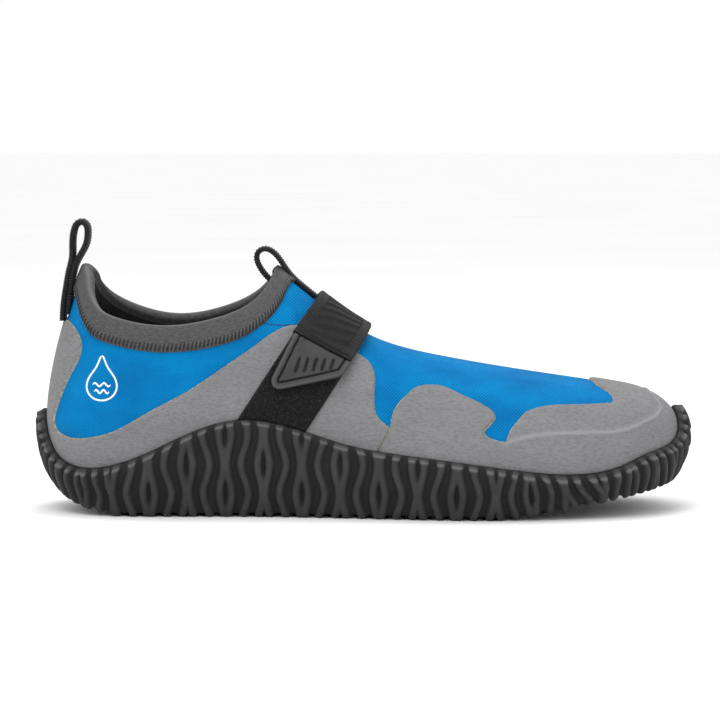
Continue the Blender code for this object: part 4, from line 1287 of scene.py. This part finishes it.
def make_strap(web, thread):
    """Model the webbing from the tab over the instep to the sole, and the seam across its raised end."""
    turn, rise, at = strap_path(0.25)
    across = np.linspace(0, 1, STRAP_COLUMNS)[None, :] * STRAP_WIDTH
    from_side = np.minimum(across, STRAP_WIDTH - across)
    field = step_up(from_side, SELVEDGE - 0.6, SELVEDGE + 0.3)
    length = at[:, None]
    ribs = 0.3 * field * (0.5 + 0.5 * np.cos(2 * np.pi * length / RIB_PITCH))
    selvedge = (1 - field) * (0.12 + 0.05 * np.cos(np.pi * length / RIB_PITCH))
    hem = HEM_LIFT * (1 - step_up(length, *HEM_RAMP))
    stitch = -0.35 * np.exp(-((length - SEAM_IN) / 0.3)**2) * (from_side > 1.5)
    relief = ribs + selvedge + rounding(from_side, 0.9, 0.75) + hem + stitch
    webbing = strap_strip("instep_webbing", (turn, rise), WEB_OUT, WEB_OUT - 2.1, web, relief, slot="webbing",
                          body=None, stands_for=["strap_webbing", "strap_anchor"])
    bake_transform(webbing)

    seams = []
    for left in np.arange(1.6, 24.4, 2.2):
        across = STRAP_REAR + np.linspace(left, left + 1.6, 7)
        turn, rise = strap_points(across, np.interp(across, (STRAP_REAR, STRAP_FRONT), STRAP_END) + SEAM_IN)
        bow = 0.2 * np.sin(np.pi * np.linspace(0, 1, 7)) - 0.1
        seams.append(bridging_layer(turn, rise, WEB_OUT + HEM_LIFT - 0.1 + bow))
    tubes("strap_hem_stitch", seams, 0.2, thread, slot="webbing", body="strap")


def make_pile_panel(pile):
    """Model the fuzzy loop pile under the strap, with a soft edge."""
    across = np.linspace(STRAP_REAR + 0.1, STRAP_FRONT - 0.1, PILE_COLUMNS)
    foot = np.interp(across, *np.transpose(PILE_FOOT))
    rows = [strap_points(across, foot + (PILE_TOP - foot) * share) for share in np.linspace(0, 1, PILE_ROWS)]
    lines = [np.stack([row[k] for row in rows]) for k in (0, 1)]
    fuzz = np.random.default_rng(7).random((PILE_ROWS, PILE_COLUMNS))
    fuzz = (fuzz + np.roll(fuzz, 1, 0) + np.roll(fuzz, 1, 1)) / 3
    column = np.arange(PILE_COLUMNS)
    from_side = np.minimum(column, column[::-1])[None, :]
    from_edge = np.minimum(from_side, np.arange(PILE_ROWS)[:, None]) / 3.0
    fuzz = 0.85 * fuzz - 0.9 * (1 - np.minimum(from_edge, 1))**2
    strap_strip("pile_panel", lines, PILE_OUT, 1.3, pile, fuzz, slot="loop_pile",
                stands_for=["strap_pile_panel"])


def make_tab(rubber, pile):
    """Model the rubber tab, with a groove along its free edges and plain grip bars, and the hooks behind."""
    outline = rounded_corners(TAB_OUTLINE, (0.4, 3.2, 2.4, 2.0, 0.4), 0.7)
    flat, triangles = fill_outline(outline, 0.42, (0.22, 0.6))
    dense = densify(outline, 0.15, closed=True)
    away = nearest(flat, dense)
    from_free = nearest(flat, dense[below_tab_top(dense) > 0.3])
    groove = step_up(from_free, 2.2, 2.5) * (1 - step_up(from_free, 2.9, 3.3))
    marks = np.min([nearest(flat, densify(line, 0.15)) for line in tab_marks()], axis=0)
    bars = (1 - step_up(marks, 0.45, 0.75)) * (from_free > 3.4)
    height = rounding(away, 0.8, 0.7) - 0.95 * groove - 0.2 * step_up(from_free, 2.9, 3.3)
    height -= 0.7 * bars + 1.5 * (1 - step_up(below_tab_top(flat), 0.2, 1.6))
    worn = np.exp(-((away - 0.7) / 0.5)**2) * 0.8
    place = strap_points(flat[:, 0], flat[:, 1])
    # The groove value marks the groove and the bars, which the tab finish darkens as painted shade.
    solid_from_skin("pull_tab", place, TAB_OUT + height, TAB_OUT - 2.1, triangles, rubber, slot="tab_rubber",
                    stands_for=["strap_tab"], values={"worn": worn, "groove": np.maximum(groove, bars)})

    flat, triangles = fill_outline(rounded_corners(HOOK_OUTLINE, (1, 1, 1, 1, 1), 0.6), 0.6, (0.3,))
    hooks = 0.35 * (np.sin(flat[:, 0] * 2 * np.pi / 1.25) * np.sin(flat[:, 1] * 2 * np.pi / 1.25) > 0.1)
    place = strap_points(flat[:, 0], flat[:, 1])
    solid_from_skin("hook_backing", place, TAB_OUT - 2.15, PILE_OUT + 1.15 - hooks, triangles, pile,
                    slot="loop_pile", stands_for=["hook_patch"])


def below_tab_top(flat):
    """Return how far points, given across and along the strap, lie below the tab's top edge."""
    return np.interp(flat[:, 0], (STRAP_REAR, STRAP_FRONT), TAB_TOP) - flat[:, 1]


def rounded_corners(points, radii, spacing):
    """Return a closed outline with rounded corners."""
    points = np.array(points, dtype=float)
    line = []
    for i, point in enumerate(points):
        before, after = points[i - 1], points[(i + 1) % len(points)]
        start = point + unit(before - point) * radii[i]
        end = point + unit(after - point) * radii[i]
        share = np.linspace(0, 1, 7)[:, None]
        line.append((1 - share)**2 * start + 2 * share * (1 - share) * point + share**2 * end)
    return densify(np.concatenate(line), spacing, closed=True)


def tab_marks():
    """Return the lines of the plain slanted grip bars pressed into the tab, across and along the strap."""
    lines = []
    for k in range(5):
        middle = np.array((61.4 + k * 3.1, 118.4 + k * 1.9))
        half = np.array((0.8, -2.5)) * (1 - 0.1 * k)
        lines.append(np.stack([middle - half, middle + half]))
    return lines


def solid_from_skin(name, place, outer, inner, triangles, finish, slot, stands_for, values=None):
    """Model a closed piece on the tab's body from the same triangles at an outer and an inner offset."""
    front, back = (bridging_layer(*place, offset) for offset in (outer, inner))
    total = len(front)
    a, b, c = (front[triangles[:, k]] for k in range(3))
    outward = np.cross(b - a, c - a).sum(axis=0)
    if outward @ (front - back).sum(axis=0) < 0:
        triangles = triangles[:, ::-1]
    rim = rim_edges(triangles)
    side = np.stack([rim[:, 1], rim[:, 0], rim[:, 0] + total, rim[:, 1] + total], axis=1)
    faces = triangles.tolist() + (triangles[:, ::-1] + total).tolist() + side.tolist()
    values = {key: np.concatenate([data, 0 * data]) for key, data in (values or {}).items()}
    made = add_piece(name, np.concatenate([front, back]), faces, finish, slot=slot, body="pull_tab",
                     stands_for=stands_for, values=values)
    made.data.set_sharp_from_angle(angle=SHARP_ANGLE)


def woven_ribbon(name, line, width, thickness, finish, stands_for):
    """Model a ribbon: a line in the shoe's middle plane, swept sideways, with woven ribs and edges."""
    ahead = unit(np.gradient(line, axis=0))
    length = run_length(line)
    turn = np.linspace(0, 2 * np.pi, RIBBON_SIDES, endpoint=False)
    sides = width / 2 * np.sign(np.cos(turn)) * np.abs(np.cos(turn))**0.42
    heights = thickness / 2 * np.sign(np.sin(turn)) * np.abs(np.sin(turn))**0.7
    weave = np.cos(2 * np.pi * length / RIBBON_RIBS)[:, None]
    lift = heights * (1 + 0.16 * weave)
    edges = np.sign(sides) * (np.abs(sides) > 0.45 * width)
    x, z = line[:, :1] - ahead[:, 1:] * lift, line[:, 1:] + ahead[:, :1] * lift
    points = to_frame(np.stack([x, sides + 0.28 * weave * edges, z], axis=-1).reshape(-1, 3))
    count = len(line)
    faces = grid(count, RIBBON_SIDES, closed=True)[:, ::-1].tolist()
    faces.append(list(range(RIBBON_SIDES)))
    faces.append(list(range((count - 1) * RIBBON_SIDES, count * RIBBON_SIDES))[::-1])
    uv = np.stack(np.broadcast_arrays(sides, length[:, None]), axis=-1).reshape(-1, 2)
    made = add_piece(name, points, faces, finish, slot="webbing", body=None, stands_for=stands_for, uv=uv)
    rework(made, face_outward)
    return made


def make_loops(web):
    """Model the heel and front pull loops, each a folded ribbon whose feet are sewn to the shoe."""
    heel = curve_through(HEEL_RIBBON, 0.28)
    heel_loop = woven_ribbon("heel_pull_loop", heel, RIBBON_WIDTH, 2.6, web, ["heel_loop", "heel_loop_tail"])
    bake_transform(heel_loop)
    front = curve_through(FRONT_RIBBON, 0.28)
    front_loop = woven_ribbon("front_pull_loop", front, RIBBON_WIDTH - 1, 2.3, web,
                              ["front_loop", "front_loop_base", "front_loop_tail"])
    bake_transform(front_loop)


def surface_strokes(name, lines, width, lift, finish, slot):
    """Model printed strokes that lie on the outer side of the neoprene, each a thin flat band."""
    points, faces, first = [], [], 0
    for line in lines:
        count = len(line)
        ahead = unit(np.gradient(line, axis=0))
        out = np.stack([-ahead[:, 1], ahead[:, 0]], axis=1)
        taper = np.minimum(1, np.minimum(np.arange(count) + 1, np.arange(count)[::-1] + 1) / 3.0)
        for share, height in ((-1, -0.02), (-0.86, lift), (0, lift), (0.86, lift), (1, -0.02)):
            row = line + out * (share * width / 2 * taper)[:, None]
            points.append(layer(*seen(row[:, 0], row[:, 1]), height))
        faces += (grid(5, count) + first).tolist()
        first += 5 * count
    add_piece(name, np.concatenate(points), faces, finish, slot=slot)


def make_emblem(finish):
    """Print a plain water drop with two ripples on the outer side of the heel."""
    drop = curve_through(DROP, 0.5, closed=True)
    lines = [np.concatenate([drop, drop[:2]])]
    for level, left, right in ((58.4, 28.6, 36.6), (55.4, 29.4, 35.9)):
        x = np.linspace(left, right, 22)
        lines.append(np.stack([x, level + 0.75 * np.sin((x - left) / (right - left) * 4 * np.pi)], axis=1))
    surface_strokes("printed_drop", lines, 0.8, 0.14, finish, "blue_neoprene")


def make_footbed(cloth):
    """Model the footbed: a foam sheet with a cupped heel, an arch and a raised rim, its cloth on top."""
    turns = both_sides(even_turns(0, 1, 2.2, 0.1), 1, -1)
    count = len(turns)
    cup = np.maximum(0, 1 - station(turns) / 0.2)
    rings = []
    for inset, lift in FOOTBED_RIM:
        line = feather_outline(turns, inset, lift)
        line[:, 2] += cup * 2.0 * (lift > 3)
        rings.append(line)
    face = ruled(rings[-1], FOOTBED_ACROSS)
    share = (np.arange(1, FOOTBED_ACROSS) / FOOTBED_ACROSS)[:, None]
    bowl = np.sin(np.pi * share)
    arch = np.exp(-((face[..., 0] - 115) / 38)**2) * step_up(share, 0.45, 0.95) * bowl * 2.2
    face[..., 2] += arch - 0.9 * bowl * np.exp(-((face[..., 0] - 42) / 26)**2)
    floor = ruled(rings[0], HIDDEN_ACROSS)
    rows = len(rings)
    points = np.concatenate([np.concatenate(rings), face.reshape(-1, 3), floor.reshape(-1, 3)])
    faces = grid(rows, count, closed=True).tolist()
    faces += cap(count, (rows - 1) * count, rows * count, FOOTBED_ACROSS, flip=False)
    faces += cap(count, 0, rows * count + face.size // 3, HIDDEN_ACROSS, flip=True)
    made = add_piece("footbed_foam", to_frame(points), faces, cloth, slot="footbed_fabric",
                     stands_for=["footbed"])
    rework(made, face_outward)


def make_hidden_parts(lining):
    """Give the inner parts their finishes."""
    finishes = {
        "midsole": make_hidden("foam", 0.14, 0.22, 1.0),
        "lasting_board": make_hidden("board", (0.42, 0.39, 0.33), (0.55, 0.52, 0.46), 2.0),
        "heel_counter": make_hidden("stiffener", 0.55, 0.68, 4.0),
        "heel_lining": lining,
    }
    finishes["toe_puff"] = finishes["heel_counter"]
    for node, finish in finishes.items():
        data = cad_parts[node].data
        data.materials.clear()
        data.materials.append(finish)


def make_instep_seam(thread):
    """Lay a dark blue line along the seam that runs from the collar band to the strap, beside the instep:
    painted shade in the seam's crease.
    """
    line = curve_through(INSTEP_SEAM, 0.5)
    core = layer(*seen(line[:, 0], line[:, 1]), -0.12)
    tubes("instep_seam", [core], 0.42, thread, slot="blue_neoprene")


def set_up(name, data, place, target):
    """Add a lamp or a camera at a place, turned to a target."""
    made = new_object(name, data)
    made.location = place
    made.rotation_euler = (Vector(target) - Vector(place)).to_track_quat("-Z", "Y").to_euler()
    return made


def make_stage():
    """Lay the pale floor and set the lights and the camera."""
    scene = bpy.context.scene
    floor = bpy.data.meshes.new("floor")
    corners = [(-FLOOR, -FLOOR, 0), (FLOOR, -FLOOR, 0), (FLOOR, FLOOR, 0), (-FLOOR, FLOOR, 0)]
    floor.from_pydata(corners, [], [(0, 1, 2, 3)])
    pale = Finish("pale_floor", 0.9)
    pale.colour(pale.clouds(400, 2, (0.3, 0.94), (0.7, 0.97)))
    floor.materials.append(pale.material)
    new_object("floor", floor)

    scene.view_settings.view_transform = "Standard"
    scene.world = bpy.data.worlds.new("studio")
    scene.world.use_nodes = True
    background = scene.world.node_tree.nodes["Background"]
    background.inputs[0].default_value = (1.0, 1.0, 1.0, 1)
    background.inputs[1].default_value = WORLD_LIGHT
    for name, place, target, size, power in LIGHTS:
        lamp = bpy.data.lights.new(name, "AREA")
        lamp.shape = "RECTANGLE"
        lamp.size, lamp.size_y = size
        lamp.energy = power
        set_up(name, lamp, place, target)

    lens = bpy.data.cameras.new("camera")
    lens.lens = CAMERA_LENS
    lift = math.radians(CAMERA_ELEVATION)
    place = Vector(CAMERA_TARGET) + Vector((0, -math.cos(lift), math.sin(lift))) * CAMERA_DISTANCE
    scene.camera = set_up("camera", lens, place, CAMERA_TARGET)


sole_rubber = make_sole_rubber()
blue = make_neoprene()
leather = make_leather_finish()
cut_edge = speckled("leather_cut_edge", 0.85, 1.2, 3, CUT_STAIN, 0.3, 0.08)
knit = make_heather()
lining = make_lining()
web = make_webbing()
pile = make_pile()
tab_rubber = make_tab_rubber()
dark_thread = make_thread("dark_thread", 0.008, 0.022)
pale_thread = make_thread("grey_thread", 0.05, 0.12)
# Painted shade: a darker blue line along the instep seam's crease.
blue_shadow = make_thread("painted_seam_shade", (0.002, 0.05, 0.16), (0.003, 0.10, 0.30))

make_outsole(sole_rubber)
make_neoprene_upper(blue, lining)
make_leather(leather, cut_edge)
make_collar_band(knit, lining, dark_thread, pale_thread)
make_strap(web, dark_thread)
make_pile_panel(pile)
make_tab(tab_rubber, pile)
make_loops(web)
make_emblem(speckled("white_print", 0.6, 0.5, 3, PRINT_WHITE, 0.6, 0.08))
make_instep_seam(blue_shadow)
make_footbed(make_footbed_cloth())
make_hidden_parts(lining)
make_stage()
